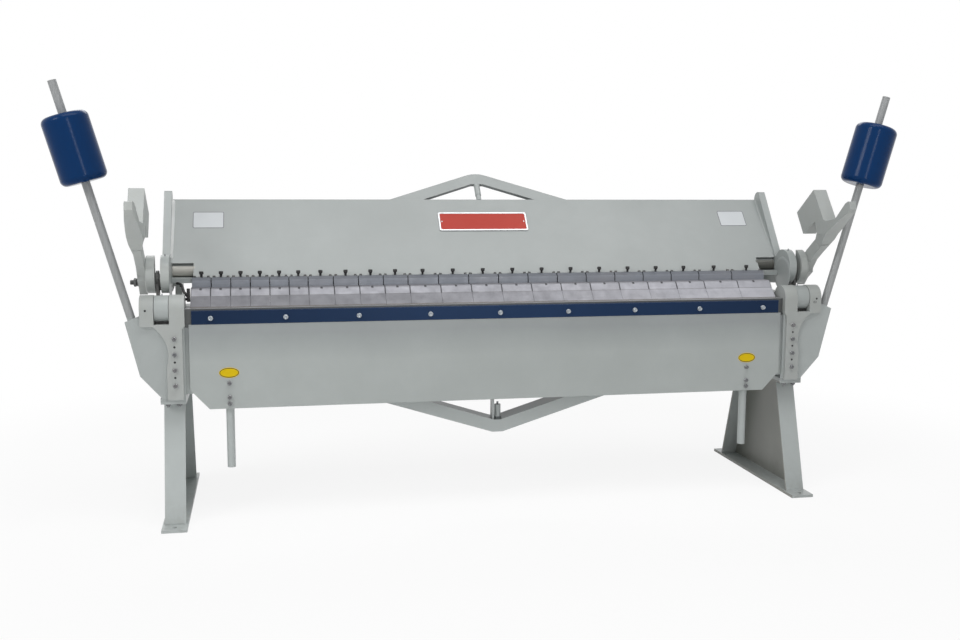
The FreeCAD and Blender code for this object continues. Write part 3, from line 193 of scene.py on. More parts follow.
class Shader:
    """A node material on one Principled shader, with short calls for the nodes it is made of."""

    def __init__(self, name):
        self.material = bpy.data.materials.new(name)
        self.material.use_nodes = True
        self.tree = self.material.node_tree
        self.surface = self.tree.nodes["Principled BSDF"]
        coordinates = self.node("ShaderNodeTexCoord").outputs
        self.place = coordinates["Object"]
        self.generated = coordinates["Generated"]
        self.normal = self.node("ShaderNodeNewGeometry").outputs["Normal"]

    def node(self, kind, inputs=None, **settings):
        made = self.tree.nodes.new(kind)
        for key, value in settings.items():
            setattr(made, key, value)
        for key, value in (inputs or {}).items():
            self.put(value, made.inputs[key])
        return made

    def put(self, value, socket):
        if isinstance(value, bpy.types.NodeSocket):
            self.tree.links.new(value, socket)
        elif isinstance(value, (tuple, list)) and len(value) == 3 and socket.type == "RGBA":
            socket.default_value = (*value, 1)
        else:
            socket.default_value = value

    def set(self, **values):
        for key, value in values.items():
            self.put(value, self.surface.inputs[key.replace("_", " ")])

    def colour(self):
        """What feeds the base colour so far."""
        return self.surface.inputs["Base Color"].links[0].from_socket

    def noise(self, scale, detail=3.0, rough=0.55, stretch=(1, 1, 1), offset=(0, 0, 0)):
        where = self.node("ShaderNodeMapping", {
            "Vector": self.place, "Location": offset, "Scale": stretch,
        })
        made = self.node("ShaderNodeTexNoise", {
            "Vector": where.outputs["Vector"], "Scale": scale, "Detail": detail,
            "Roughness": rough,
        })
        return made.outputs["Fac"]

    def math(self, operation, first, second=0.0):
        return self.node("ShaderNodeMath", {0: first, 1: second}, operation=operation).outputs[0]

    def times(self, first, second):
        return self.math("MULTIPLY", first, second)

    def between(self, value, low, high, out_low=0.0, out_high=1.0):
        made = self.node("ShaderNodeMapRange", {
            "Value": value, "From Min": low, "From Max": high,
            "To Min": out_low, "To Max": out_high,
        }, clamp=True)
        return made.outputs["Result"]

    def mix(self, factor, first, second, blend="MIX"):
        made = self.node("ShaderNodeMix", data_type="RGBA", blend_type=blend, clamp_factor=True)
        by_name = {socket.name: socket for socket in made.inputs if socket.enabled}
        self.put(factor, by_name["Factor"])
        self.put(first, by_name["A"])
        self.put(second, by_name["B"])
        return next(socket for socket in made.outputs if socket.enabled)

    def tinted(self, color, tint):
        return self.mix(1.0, color, tint, "MULTIPLY")

    def part(self, vector, axis):
        return self.node("ShaderNodeSeparateXYZ", {"Vector": vector}).outputs[axis]

    def along(self, axis):
        """The place of the surface along an axis, in metres."""
        return self.part(self.place, axis)

    def facing(self, axis):
        """How far the surface faces along an axis, from -1 to 1."""
        return self.part(self.normal, axis)

    def rounded(self, radius):
        return self.node("ShaderNodeBevel", {"Radius": radius}, samples=4).outputs["Normal"]

    def edges(self, radius):
        """1 where the surface turns sharply within the radius, 0 on open faces."""
        along = self.node("ShaderNodeVectorMath", {0: self.rounded(radius), 1: self.normal},
                          operation="DOT_PRODUCT")
        return self.between(along.outputs["Value"], 0.995, 0.80)

    def bump(self, height, distance, strength=1.0, soft=0.0008):
        made = self.node("ShaderNodeBump", {
            "Height": height, "Distance": distance, "Strength": strength,
            "Normal": self.rounded(soft),
        })
        self.set(Normal=made.outputs["Normal"])


def scaled(color, factor):
    return tuple(channel * factor for channel in color)


def lighter(color, gain, add):
    return [min(1.0, channel * gain + add) for channel in color]


def paint(name, color, rough=0.36, tint=(1.0, 1.0, 1.0), peel=0.00012, cast=0.0, wear=0.5,
          gloss=0.5, ends=None):
    """Sprayed enamel: cloudy colour, dust at the feet, every edge lightened as a painted highlight
    and rubbed to bare metal in places, orange peel and smears.

    The ends are the colour's factors at the machine's left and right end: painted light and shade,
    lighter or darker towards either end.
    """
    s = Shader(name)
    clouds = s.between(s.noise(2.3, 4, 0.6), 0.3, 0.7)
    patches = s.between(s.noise(17, 3, 0.6, offset=(3, 1, 7)), 0.35, 0.75)
    specks = s.between(s.noise(240, 2, 0.7, offset=(5, 5, 1)), 0.66, 0.74)
    body = s.mix(clouds, scaled(color, 0.94), scaled(color, 1.05))
    body = s.mix(s.times(patches, 0.35), body, [c * t * 0.93 for c, t in zip(color, tint)])
    body = s.mix(s.times(specks, 0.25), body, scaled(color, 0.6))
    edge = s.edges(0.004)
    ragged = s.between(s.noise(95, 5, 0.7, offset=(9, 2, 4)), 0.42, 0.62)
    rubbed = s.times(edge, ragged)
    # Painted highlight: every edge is lightened, rubbed or not.
    body = s.mix(s.times(edge, 0.35), body, lighter(color, 1.28, 0.012))
    body = s.mix(s.times(rubbed, wear * 0.55), body, (0.34, 0.35, 0.36))
    grit = s.between(s.noise(30, 5, 0.7), 0.4, 0.7)
    grit = s.times(s.between(s.along("Z"), *FOOT_DUST), grit)
    body = s.mix(s.times(grit, 0.30), body, (0.20, 0.19, 0.17))
    # Painted light and shade along the machine.
    if ends:
        body = s.tinted(body, s.between(s.along("X"), *TONE_REACH, *ends))
    smears = s.noise(6, 5, 0.7, stretch=(1, 1, 0.25), offset=(2, 8, 3))
    smears = s.between(smears, 0.3, 0.8)
    roughness = s.between(smears, 0, 1, rough * 0.85, min(1.0, rough * 1.2))
    s.set(Base_Color=body, Roughness=s.math("ADD", roughness, s.times(rubbed, 0.1)),
          Specular_IOR_Level=gloss)
    skin = s.noise(420, 2, 0.5)
    if cast:
        lumps = s.noise(110, 4, 0.65, offset=(1, 6, 2))
        skin = s.math("ADD", s.times(skin, 0.3), s.times(lumps, cast))
    s.bump(skin, peel * (6 if cast else 1), 0.6)
    return s


def cast_paint(name, ends):
    return paint(name, CAST, rough=0.46, cast=1.0, tint=(1.02, 1.0, 0.95), ends=ends)


def steel(name, color, rough=0.34, grain=(6, 260, 260), stain=(0.30, 0.25, 0.23), stained=0.4,
          metal=1.0, contrast=0.14, shine=(1.3, 0.04)):
    """Machined steel: fine tool lines along the grain, oil stains, and edges lightened by the
    shine factors, as wear and as a painted highlight.
    """
    s = Shader(name)
    lines = s.noise(1.0, 6, 0.65, stretch=grain)
    clouds = s.between(s.noise(5, 4, 0.6, stretch=(1, 2, 2), offset=(4, 0, 2)), 0.45, 0.75)
    pits = s.between(s.noise(160, 3, 0.7), 0.62, 0.72)
    body = s.mix(s.between(lines, 0.3, 0.7),
                 scaled(color, 1 - contrast), scaled(color, 1 + 0.7 * contrast))
    body = s.mix(s.times(clouds, stained), body, stain)
    body = s.mix(s.times(pits, 0.35), body, scaled(color, 0.45))
    # Painted highlight, partly wear: edges lightened by the shine factors.
    body = s.mix(s.times(s.edges(0.0025), 0.5), body, lighter(color, *shine))
    rub = s.between(s.noise(23, 4, 0.7, offset=(7, 7, 0)), 0.3, 0.7)
    s.set(Base_Color=body, Metallic=metal,
          Roughness=s.between(rub, 0, 1, rough * 0.8, rough * 1.3))
    s.bump(lines, 0.00006, 0.7, soft=0.0005)
    return s


def finger_steel(name, width):
    """Nose and brow toned apart, both lighter towards the row's right end as a painted reflection;
    a thin dark line between them; near-black in the seam between fingers and in the notch, oil and
    painted shade.
    """
    s = steel(name, (0.268, 0.270, 0.294), rough=0.46, grain=(3, 120, 120),
              stain=(0.20, 0.195, 0.205), stained=0.3, metal=0.6, contrast=0.05)
    height = s.along("Z")
    above = s.between(height, NOSE_TOP - 0.0004, NOSE_TOP + 0.0004)
    # Painted reflection: the fingers grow lighter towards the right end of the row.
    row_sheen = s.math("POWER", s.between(s.along("X"), *FINGER_REACH), 2.0)
    nose, brow = s.between(row_sheen, 0, 1, 0.50, 1.22), s.between(row_sheen, 0, 1, 0.80, 1.08)
    body = s.tinted(s.colour(), s.between(above, 0, 1, nose, brow))
    line = s.math("ABSOLUTE", s.math("SUBTRACT", height, NOSE_TOP))
    body = s.mix(s.between(line, 0.0022, 0.0006, 0, 0.45), body, (0.10, 0.098, 0.10))
    body = s.mix(s.between(height, *NOSE_FOOT, 0, 0.7), body, (0.10, 0.085, 0.07))
    # Seam between fingers: oil and painted shade.
    across = s.part(s.generated, "X")
    aside = s.times(s.math("MINIMUM", across, s.math("SUBTRACT", 1.0, across)), width)
    reach = s.between(above, 0, 1, 0.0009, 0.0026)
    seam = s.between(s.math("DIVIDE", aside, reach), 0.6, 1.1, 1, 0)
    body = s.mix(s.times(seam, s.between(above, 0, 1, 0.45, 0.92)), body, OIL_AND_SHADE)
    # Notch: oil and painted shade in the recess.
    middle = s.times(s.math("ABSOLUTE", s.math("SUBTRACT", across, 0.5)), width)
    notch = s.times(s.between(middle, *NOTCH_SIDE), s.between(height, *NOTCH_FOOT))
    notch = s.times(notch, s.between(s.along("Y"), *NOTCH_BACK))
    s.set(Base_Color=s.mix(s.times(notch, 0.9), body, OIL_AND_SHADE))
    return s


def edge_steel():
    """Bending bars: scoured bright on top where sheet slides, darker on their other faces with oil
    and painted shade.
    """
    s = steel("steel_edge", (0.40, 0.405, 0.415), rough=0.40, metal=0.6, stained=0.1,
              contrast=0.06)
    scoured = s.colour()
    oily_and_shaded = s.tinted(scoured, (0.26, 0.27, 0.265))
    # Painted shade, with oil: faces that do not face up are darker.
    s.set(Base_Color=s.mix(s.between(s.facing("Z"), 0.3, 0.7), oily_and_shaded, scoured))
    return s


def block_steel():
    """Milled clamp blocks; painted shade darkens the leaning band above each block's upright
    front.
    """
    s = steel("steel_block", (0.215, 0.23, 0.26), rough=0.45, grain=(5, 200, 200),
              stained=0.15, metal=0.5, contrast=0.08)
    milled = s.colour()
    # Painted shade on the leaning band.
    shaded_band = s.between(s.along("Z"), *BLOCK_SHADE)
    s.set(Base_Color=s.mix(shaded_band, milled, s.tinted(milled, (0.52, 0.53, 0.54))))
    return s


def balance_arm_paint():
    """Painted wing plate, changing to the duller drawn rod above the wing's top edge."""
    s = paint("paint_balance_arm", GREY)
    painted = s.colour()
    drawn = s.between(s.noise(1.0, 5, 0.6, stretch=(120, 120, 3)), 0.3, 0.7)
    rod = s.mix(drawn, (0.300, 0.310, 0.312), (0.365, 0.376, 0.378))
    s.set(Base_Color=s.mix(s.between(s.along("Z"), *WING_TOP), painted, rod))
    return s


def hub_paint():
    """The left end plate's enamel, lighter towards the left end and lighter still on the hub below
    it: painted light.
    """
    s = paint("paint_left_hub", GREY, ends=(1.04, 1.0))
    clean = s.colour()
    # Painted light on the hub.
    hub = s.between(s.along("Z"), *HUB_TOP)
    s.set(Base_Color=s.mix(hub, clean, s.tinted(clean, (1.22, 1.19, 1.17))))
    return s


def beam_paint():
    """The beam's enamel, darker overall and more so towards the right end as painted shade:
    painted shade on the bar in the right-hand pocket, a paler, warmer bar in the left one as
    painted light, and painted shade on the upper truss's underside."""
    s = paint("paint_beam_grey", GREY, ends=(0.90, 0.83))
    clean = s.colour()
    low = s.between(s.along("Z"), *POCKET_TOP)
    behind = s.times(low, s.between(s.along("Y"), *POCKET_FRONT))
    # Painted shade on the bar in the right pocket; painted light on the bar in the left one.
    right = s.times(behind, s.between(s.along("X"), *RIGHT_POCKET))
    left = s.times(behind, s.between(s.along("X"), *LEFT_POCKET))
    body = s.mix(right, clean, s.tinted(clean, (0.25, 0.235, 0.21)))
    body = s.mix(left, body, (0.47, 0.46, 0.42))
    # Painted shade under the upper truss.
    under = s.times(s.between(s.facing("Z"), -0.3, -0.7), s.between(s.along("Z"), *UPPER_TRUSS))
    s.set(Base_Color=s.mix(under, body, s.tinted(clean, (0.50, 0.50, 0.51))))
    return s


def stand_paint():
    """Floor stands and lower truss, lighter towards the left end as painted light; painted shade,
    warm like dust, on the inner side of the right stand's web, and painted shade on the top of the
    lower truss under the machine."""
    s = paint("paint_stand_grey", GREY, ends=(1.18, 0.96))
    clean = s.colour()
    # Painted shade on the right stand's inner web.
    inner = s.times(s.between(s.facing("X"), -0.5, -0.9), s.between(s.along("X"), *RIGHT_STAND))
    body = s.mix(inner, clean, s.tinted(clean, (0.56, 0.535, 0.49)))
    truss = s.times(s.between(s.along("Z"), *LOWER_TRUSS_FOOT),
                    s.between(s.along("Z"), *LOWER_TRUSS_TOP))
    # Painted shade on the lower truss's top, under the machine.
    truss_top_shade = s.times(s.between(s.facing("Z"), 0.3, 0.6), truss)
    s.set(Base_Color=s.mix(truss_top_shade, body, s.tinted(clean, (0.36, 0.365, 0.37))),
          Specular_IOR_Level=s.between(truss_top_shade, 0, 1, 0.5, 0.1))
    return s


def apron_paint():
    """The machine's enamel, darker towards the bending edge as painted shade, lighter towards the
    foot as a painted reflection of the floor, and darker towards the right end.
    """
    s = paint("paint_apron", GREY, ends=(1.0, 0.93))
    clean = s.colour()
    uneven = s.times(s.noise(3.0, 4, 0.6, offset=(6, 3, 1)), 0.05)
    # Painted shade at the top, painted floor reflection below.
    apron_shade_ramp = s.between(s.math("ADD", s.along("Z"), uneven), *APRON_SHADE_RAMP)
    s.set(Base_Color=s.mix(apron_shade_ramp, s.tinted(clean, (1.05, 1.05, 1.04)),
                           s.tinted(clean, (0.80, 0.80, 0.815))))
    return s


def cap_bar_paint():
    """The cap bar's dark blue, paler towards its middle."""
    s = paint("paint_dark_blue", (0.009, 0.027, 0.073), rough=0.34, wear=0.6, gloss=0.12)
    middle = s.between(s.math("ABSOLUTE", s.along("X")), *BAR_MIDDLE)
    s.set(Base_Color=s.tinted(s.colour(), s.between(middle, 0, 1, 0.88, 1.30)))
    return s


# The ends factors given to the paints below are painted light and shade along the machine.
materials = {
    "apron_paint": apron_paint(),
    "balance_arm": balance_arm_paint(),
    "machine_grey": paint("paint_machine_grey", GREY, ends=(1.06, 0.92)),
    "beam_grey": beam_paint(),
    "hub_grey": hub_paint(),
    "handle_grey": cast_paint("paint_handle_grey", (1.15, 1.0)),
    "highlight_grey": paint("paint_rubbed_grey", (0.80, 0.82, 0.81)),
    "stand_grey": stand_paint(),
    "cast_grey": cast_paint("paint_cast_grey", (1.04, 0.95)),
    "dark_blue": cap_bar_paint(),
    "gloss_blue": paint("paint_gloss_blue", (0.001, 0.031, 0.118), rough=0.17, wear=0.15,
                        gloss=0.11),
    "ground_steel": steel("steel_ground", (0.34, 0.34, 0.355), rough=0.42, metal=0.6),
    "block_steel": block_steel(),
    "dark_steel": steel("steel_dark", (0.12, 0.125, 0.125), rough=0.48, grain=(90, 90, 90),
                        stained=0.3, metal=0.7),
    "edge_steel": edge_steel(),
    # Dark worn zinc whose edges carry a strong painted highlight standing in for glints.
    "worn_glinting_zinc": steel("steel_worn_zinc", (0.13, 0.135, 0.14), rough=0.30,
                       grain=(120, 120, 120), stained=0.2, metal=0.8, shine=(3.0, 0.45)),
    "zinc": steel("steel_zinc", (0.24, 0.25, 0.265), rough=0.30, grain=(120, 120, 120),
                  stained=0.2, metal=0.8),
    "new_zinc": steel("steel_new_zinc", (0.30, 0.33, 0.355), rough=0.28,
                      grain=(120, 120, 120), stained=0.1, metal=0.8, shine=(1.6, 0.25)),
    "black_oxide": steel("steel_black_oxide", (0.010, 0.010, 0.011), rough=0.42,
                         grain=(150, 150, 150), stain=(0.03, 0.025, 0.02), stained=0.2,
                         metal=0.2),
    "bronze": steel("steel_bronze", (0.42, 0.29, 0.14), rough=0.35, grain=(60, 60, 60),
                    stained=0.3),
    "name_plate": steel("plate_rim", (0.56, 0.57, 0.58), rough=0.3, grain=(3, 90, 90),
                        stained=0.08, metal=0.6),
    "plate_field": paint("plate_field", (0.50, 0.050, 0.034), rough=0.32, wear=0.1, gloss=0.15),
    "label_white": paint("label_white", (0.60, 0.63, 0.65), rough=0.35, wear=0.1),
    "label_print": paint("label_print", (0.14, 0.14, 0.16), rough=0.45, wear=0.1),
    "label_yellow": paint("label_yellow", (0.74, 0.52, 0.004), rough=0.38, wear=0.1,
                          gloss=0.15),
}
for inches in (3, 4, 5, 6):
    label = "finger_%d_inch" % inches
    materials[label] = finger_steel("steel_" + label, inches * INCH / 1000)

# Nodes whose material isn't the plain one of their slot
DRESSED = {
    "balance_arm": ("left_balance_arm", "right_balance_arm"),
    "apron_paint": ("apron_panel",),
    "edge_steel": ("apron_edge_bar", "bed_edge_bar"),
    "beam_grey": ("beam_plate", "upper_truss"),
    "hub_grey": ("left_beam_end",),
    "handle_grey": ("left_clamp_handle", "right_clamp_handle"),
    "stand_grey": ("left_stand", "right_stand", "lower_truss", "lower_truss_strut",
                   "pull_handles"),
}


def dress_frame():
    """Every node of the frame gets its material."""
    slots = {row["node"]: row["material_slot"] for row in frame["record"]["subparts"]}
    for material, nodes in DRESSED.items():
        slots.update(dict.fromkeys(nodes, material))
    for number, width in enumerate(FINGER_WIDTHS, 1):
        slots["finger_%02d" % number] = "finger_%d_inch" % round(width / INCH)
    for node, obj in frame["nodes"].items():
        material = materials[slots[node]].material
        if not obj.data.materials:
            obj.data.materials.append(material)
        for index in range(len(obj.data.materials)):
            obj.data.materials[index] = material


class Mesh:
    """Vertices and faces of one detail piece, gathered in metres."""

    def __init__(self):
        self.points = []
        self.faces = []

    def add(self, points, faces, placement=Matrix()):
        start = len(self.points)
        self.points += [placement @ Vector(p) for p in points]
        self.faces += [[start + index for index in face] for face in faces]

    def grid(self, rings, placement=Matrix(), caps=True):
        """Rings of equally many points, joined in turn; the first and last are capped."""
        count = len(rings[0])
        points = [p for ring in rings for p in ring]
        faces = []
        for row in range(len(rings) - 1):
            for k in range(count):
                here, there = row * count + k, row * count + (k + 1) % count
                faces.append((here, there, there + count, here + count))
        if caps:
            faces.append(tuple(reversed(range(count))))
            last = (len(rings) - 1) * count
            faces.append(tuple(range(last, last + count)))
        self.add(points, faces, placement)

    def lathe(self, profile, placement, segments=32, radius_of=None):
        """Turns a profile of (radius, height); radius_of may shape it further round the axis."""
        rings = []
        for radius, height in profile:
            ring = []
            for angle in round_angles(segments):
                r = radius_of(radius, height, angle) if radius_of else radius
                ring.append(polar(r, angle, height))
            rings.append(ring)
        self.grid(rings, placement)

    def piece(self, name, body, slot, material=None, replaces=(), smooth_angle=35.0):
        data = bpy.data.meshes.new(name)
        data.from_pydata(self.points, [], self.faces)
        data.validate()
        data.materials.append(materials[material or slot].material)
        obj = bpy.data.objects.new(name, data)
        bpy.context.scene.collection.objects.link(obj)
        data.shade_smooth()
        data.set_sharp_from_angle(angle=math.radians(smooth_angle))
        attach(obj, body)
        if replaces:
            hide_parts(*replaces)
        return obj


def round_angles(count):
    return [2 * math.pi * k / count for k in range(count)]


def polar(radius, angle, height):
    return radius * math.cos(angle), radius * math.sin(angle), height


def hexagon_radius(flat, angle):
    return flat / math.cos((angle + math.pi / 6) % (math.pi / 3) - math.pi / 6)


def hex_head(mesh, placement, flat, thickness, both_ends=False):
    """A hexagonal head or nut whose corners are turned off, with a dished top."""
    chamfer = 0.52
    top_radius = flat * 0.94
    angles = round_angles(36)

    def hexagon(top):
        ring = []
        for angle in angles:
            radius = hexagon_radius(flat, angle)
            drop = (radius - top_radius) * chamfer
            height = thickness - drop if top else (drop if both_ends else 0.0)
            ring.append(polar(radius, angle, height))
        return ring

    rings = [hexagon(top=False), hexagon(top=True)]
    for share, sunk in ((1.0, 0.0), (0.82, 0.0), (0.72, 0.07), (0.3, 0.08)):
        rings.append([polar(top_radius * share, a, thickness * (1 - sunk)) for a in angles])
    if both_ends:
        rings.insert(0, [polar(top_radius, a, 0.0) for a in angles])
    mesh.grid(rings, placement)


def washer(mesh, placement, radius, thickness, low=0.0):
    edge = thickness * 0.3
    profile = [(radius - edge, low), (radius, low + edge), (radius, low + thickness - edge),
               (radius - edge, low + thickness)]
    mesh.lathe(profile, placement, 40)


def thread(mesh, placement, radius, depth, pitch, low, high, segments=28):
    """A screw thread: a rod whose radius rises and falls along a helix, its end turned off."""
    rows = max(4, int((high - low) / pitch * 6))
    rings = []
    for row in range(rows + 1):
        height = low + (high - low) * row / rows
        ring = []
        for k in range(segments):
            turn = k / segments
            phase = (height / pitch - turn) % 1.0
            groove = depth * abs(2 * phase - 1)
            ease = min(1.0, (high - height) / (1.6 * depth + 0.01))
            r = radius - groove - depth * (1 - ease)
            ring.append(polar(r, 2 * math.pi * turn, height))
        rings.append(ring)
    mesh.grid(rings, placement)


def apron_bolts():
    """Hexagon bolts with two washers each on the cap bar, hinge strips and pull handles."""
    cap, strip = Mesh(), Mesh()
    seats = [(cap, (k - 4) * CAP_BOLT_PITCH, CAP_FRONT, CAP_BOLT_HEIGHT) for k in range(9)]
    for side in (-1, 1):
        for k in range(4):
            height = STRIP_BOLT_TOP - STRIP_BOLT_PITCH * k
            seats.append((strip, side * STRIP_X, EAR_FRONT, height))
        for height in PULL_BOLT_HEIGHTS:
            seats.append((strip, side * PULL_X, APRON_FRONT, height))
    for number, (mesh, x, depth, height) in enumerate(seats):
        spot = standing(at(x, depth, height), FORWARD, spin=0.37 * number)
        washer(mesh, spot, 9.6, 1.8)
        washer(mesh, spot, 8.0, 1.5, low=1.8)
        hex_head(mesh, raised(spot, 3.3), 7.4, 6.0)
    cap.piece("apron_bolt_heads", "apron", "zinc", material="new_zinc",
              replaces=("apron_bolts",))
    strip.piece("apron_strip_bolt_heads", "apron", "zinc", material="worn_glinting_zinc")


def frame_bolts():
    """Bolts through the end frames' feet, with washers, nuts and thread ends beneath."""
    mesh = Mesh()
    for side in (-1, 1):
        for x in FRAME_BOLT_XS:
            for depth in FRAME_BOLT_DEPTHS:
                spin = len(mesh.points)
                top = standing(at(side * x, depth, FRAME_FOOT_TOP), UP, spin)
                washer(mesh, top, 12.0, 2.5)
                hex_head(mesh, raised(top, 2.5), 9.5, 7.0)
                under = standing(at(side * x, depth, STAND_TOP_UNDER), -UP, spin)
                hex_head(mesh, under, 9.5, 9.0, both_ends=True)
                thread(mesh, under, 6.0, 0.7, 1.75, 8.0, 14.5)
    mesh.piece("frame_bolt_set", "frame", "zinc", material="worn_glinting_zinc",
               replaces=("frame_bolts",))


def finger_places():
    """The middle and width of every finger, left to right."""
    x = -HALF_ROW
    for width in FINGER_WIDTHS:
        yield x + width / 2, width
        x += width


def block_bolts():
    """Two small hexagon bolts on every clamp block."""
    mesh = Mesh()
    for middle, width in finger_places():
        for side in (-1, 1):
            x = middle + side * (width / 2 - BLOCK_BOLT_INSET)
            spot = standing(at(x, SCREW_DEPTH, BLOCK_TOP), UP, spin=x)
            washer(mesh, spot, 7.0, 1.5)
            hex_head(mesh, raised(spot, 1.5), 5.0, 5.0)
    mesh.piece("clamp_block_bolt_heads", "top_beam", "zinc", material="dark_steel",
               replaces=("clamp_block_bolts",))


def thumb_screws():
    """Cone-headed screws with a knurled rim, one on every clamp block."""

    def knurl(radius, height, angle):
        rim = 0.35 if height > 14.0 and radius > 7.5 else 0.0
        return radius - rim * (1 + math.cos(20 * angle))

    mesh = Mesh()
    shank = [(4.2, 0.0), (4.6, 0.6), (4.2, 1.2), (4.6, 1.8), (4.2, 2.4), (4.6, 3.0), (4.2, 3.6),
             (4.6, 5.0)]
    head = [(4.7, 9.0), (5.8, 11.0), (7.6, 13.2), (8.3, 13.9), (8.5, 14.6), (8.5, 22.8),
            (8.0, 23.6), (6.2, 24.0), (5.4, 23.2), (1.2, 23.0)]
    for middle, _ in finger_places():
        spot = standing(at(middle, SCREW_DEPTH, BLOCK_TOP), UP, spin=middle)
        mesh.lathe(shank + head, spot, 80, knurl)
    mesh.piece("thumb_screw_set", "top_beam", "black_oxide", replaces=("thumb_screws",))


def rounded_rectangle(half_width, half_height, corner, steps=6):
    points = []
    for cx, cy, start in ((1, 1, 0), (-1, 1, 90), (-1, -1, 180), (1, -1, 270)):
        for k in range(steps + 1):
            angle = math.radians(start + 90 * k / steps)
            points.append((cx * (half_width - corner) + corner * math.cos(angle),
                           cy * (half_height - corner) + corner * math.sin(angle)))
    return points


def inset_rectangle(half_width, half_height, corner):
    """The shape of a rounded plate at any inset from its edge."""
    return lambda inset: rounded_rectangle(half_width - inset, half_height - inset,
                                           corner - inset * 0.5)


def ellipse(half_width, half_height, steps=64):
    return [(half_width * math.cos(a), half_height * math.sin(a)) for a in round_angles(steps)]


def plate(mesh, placement, shape, levels):
    """A thin plate: levels are (inset, height) from its edge to its middle, given to shape."""
    rings = [[(x, y, height) for x, y in shape(inset)] for inset, height in levels]
    mesh.grid(rings, placement)


def outline(mesh, placement, outer, inner, foot, top, inside):
    """A raised line between two outlines, from its outer foot over its top to its inner edge."""
    rings = [(outer, foot), (outer, top), (inner, top), (inner, inside)]
    mesh.grid([[(x, y, z) for x, y in ring] for ring, z in rings], placement, caps=False)


def beam_face(x, along):
    """The placement of a plate on the beam's leaning face, its own Y up the slope."""
    run, rise = math.cos(BEAM_SLOPE), math.sin(BEAM_SLOPE)
    depth = BEAM_FOOT[0] + along * run
    height = BEAM_FOOT[1] + along * rise
    across = Vector((1, 0, 0))
    up_slope = Vector((0, run, rise))
    outward = across.cross(up_slope)
    turn = Matrix((across, up_slope, outward)).transposed().to_4x4()
    return Matrix.Translation(at(x, depth, height)) @ turn @ Matrix.Scale(0.001, 4)


def name_plate():
    """A blank enamelled plate in a raised bright rim, held by a drive rivet at each end."""
    spot = beam_face(NAME_PLATE_X, NAME_PLATE_ALONG)
    rim = Mesh()
    plate(rim, spot, inset_rectangle(195, 50, 9),
          [(0, 0), (0, 4.4), (0.8, 5.4), (6.2, 5.4), (7.0, 4.4), (7.6, 3.4)])
    for side in (-1, 1):
        rivet = spot @ Matrix.Translation((side * 181, 0, 3.9))
        rim.lathe([(3.4, 0.0), (3.3, 0.7), (2.7, 1.3), (1.6, 1.7), (0.5, 1.85)], rivet, 20)
    rim.piece("name_plate_rim", "top_beam", "name_plate")
    field = Mesh()
    plate(field, spot, inset_rectangle(187.6, 42.6, 5),
          [(0, 3.0), (0, 3.7), (0.5, 3.9), (3, 3.95)])
    field.piece("name_plate_field", "top_beam", "name_plate", material="plate_field")


def beam_labels():
    """A blank rounded label near each end of the beam, with a plain dark line round it."""
    for side, name in SIDES:
        spot = beam_face(side * LABEL_X, LABEL_ALONG)
        label = Mesh()
        plate(label, spot, inset_rectangle(62, 42, 7), [(0, 0), (0, 0.35), (0.3, 0.5), (2, 0.5)])
        label.piece(name + "_beam_label", "top_beam", "label_white")
        rule = Mesh()
        outline(rule, spot, rounded_rectangle(62.4, 42.4, 7), rounded_rectangle(60.0, 40.0, 5),
                0.0, 0.62, 0.3)
        rule.piece(name + "_beam_label_rule", "top_beam", "label_white",
                   material="label_print")


def apron_ovals():
    """A blank yellow oval with a dark outline above each pull handle."""
    for side, name in SIDES:
        spot = standing(at(side * PULL_X, APRON_FRONT, OVAL_HEIGHT), FORWARD)
        oval = Mesh()
        plate(oval, spot, lambda inset: ellipse(39 - inset, 21 - inset),
              [(0, 0), (0, 0.35), (0.3, 0.5), (3, 0.5)])
        oval.piece(name + "_apron_oval", "apron", "label_yellow")
        line = Mesh()
        outline(line, spot, ellipse(36.8, 19.0), ellipse(34.2, 16.4), 0.45, 0.6, 0.45)
        line.piece(name + "_apron_oval_line", "apron", "label_yellow", material="black_oxide")


def socket_screws():
    """Set screws and dowel ends with a hexagon socket, on the strips and the ears, and the
    small rectangular plug on the right ear."""
    socket = 2.0
    profile = [(4.4, 0.0), (4.3, 0.5), (3.6, 0.8), (2.9, 0.8), (socket, 0.7), (socket, 0.15),
               (0.3, 0.1)]

    def hexagonal(radius, level, angle):
        return hexagon_radius(socket, angle) if radius == socket else radius

    mesh = Mesh()
    for side in (-1, 1):
        spots = [(side * STRIP_X, height) for height in SET_SCREW_HEIGHTS]
        for x, height in spots + [(side * DOWEL_X, DOWEL_HEIGHT)]:
            spot = standing(at(x, EAR_FRONT, height), FORWARD, spin=x)
            mesh.lathe(profile, spot, 36, hexagonal)
    outline(mesh, standing(at(*EAR_PLUG), FORWARD), rounded_rectangle(6.2, 4.2, 1.2),
            rounded_rectangle(4.8, 2.8, 0.6), 0.0, 0.7, 0.1)
    mesh.piece("apron_socket_screws", "apron", "black_oxide")


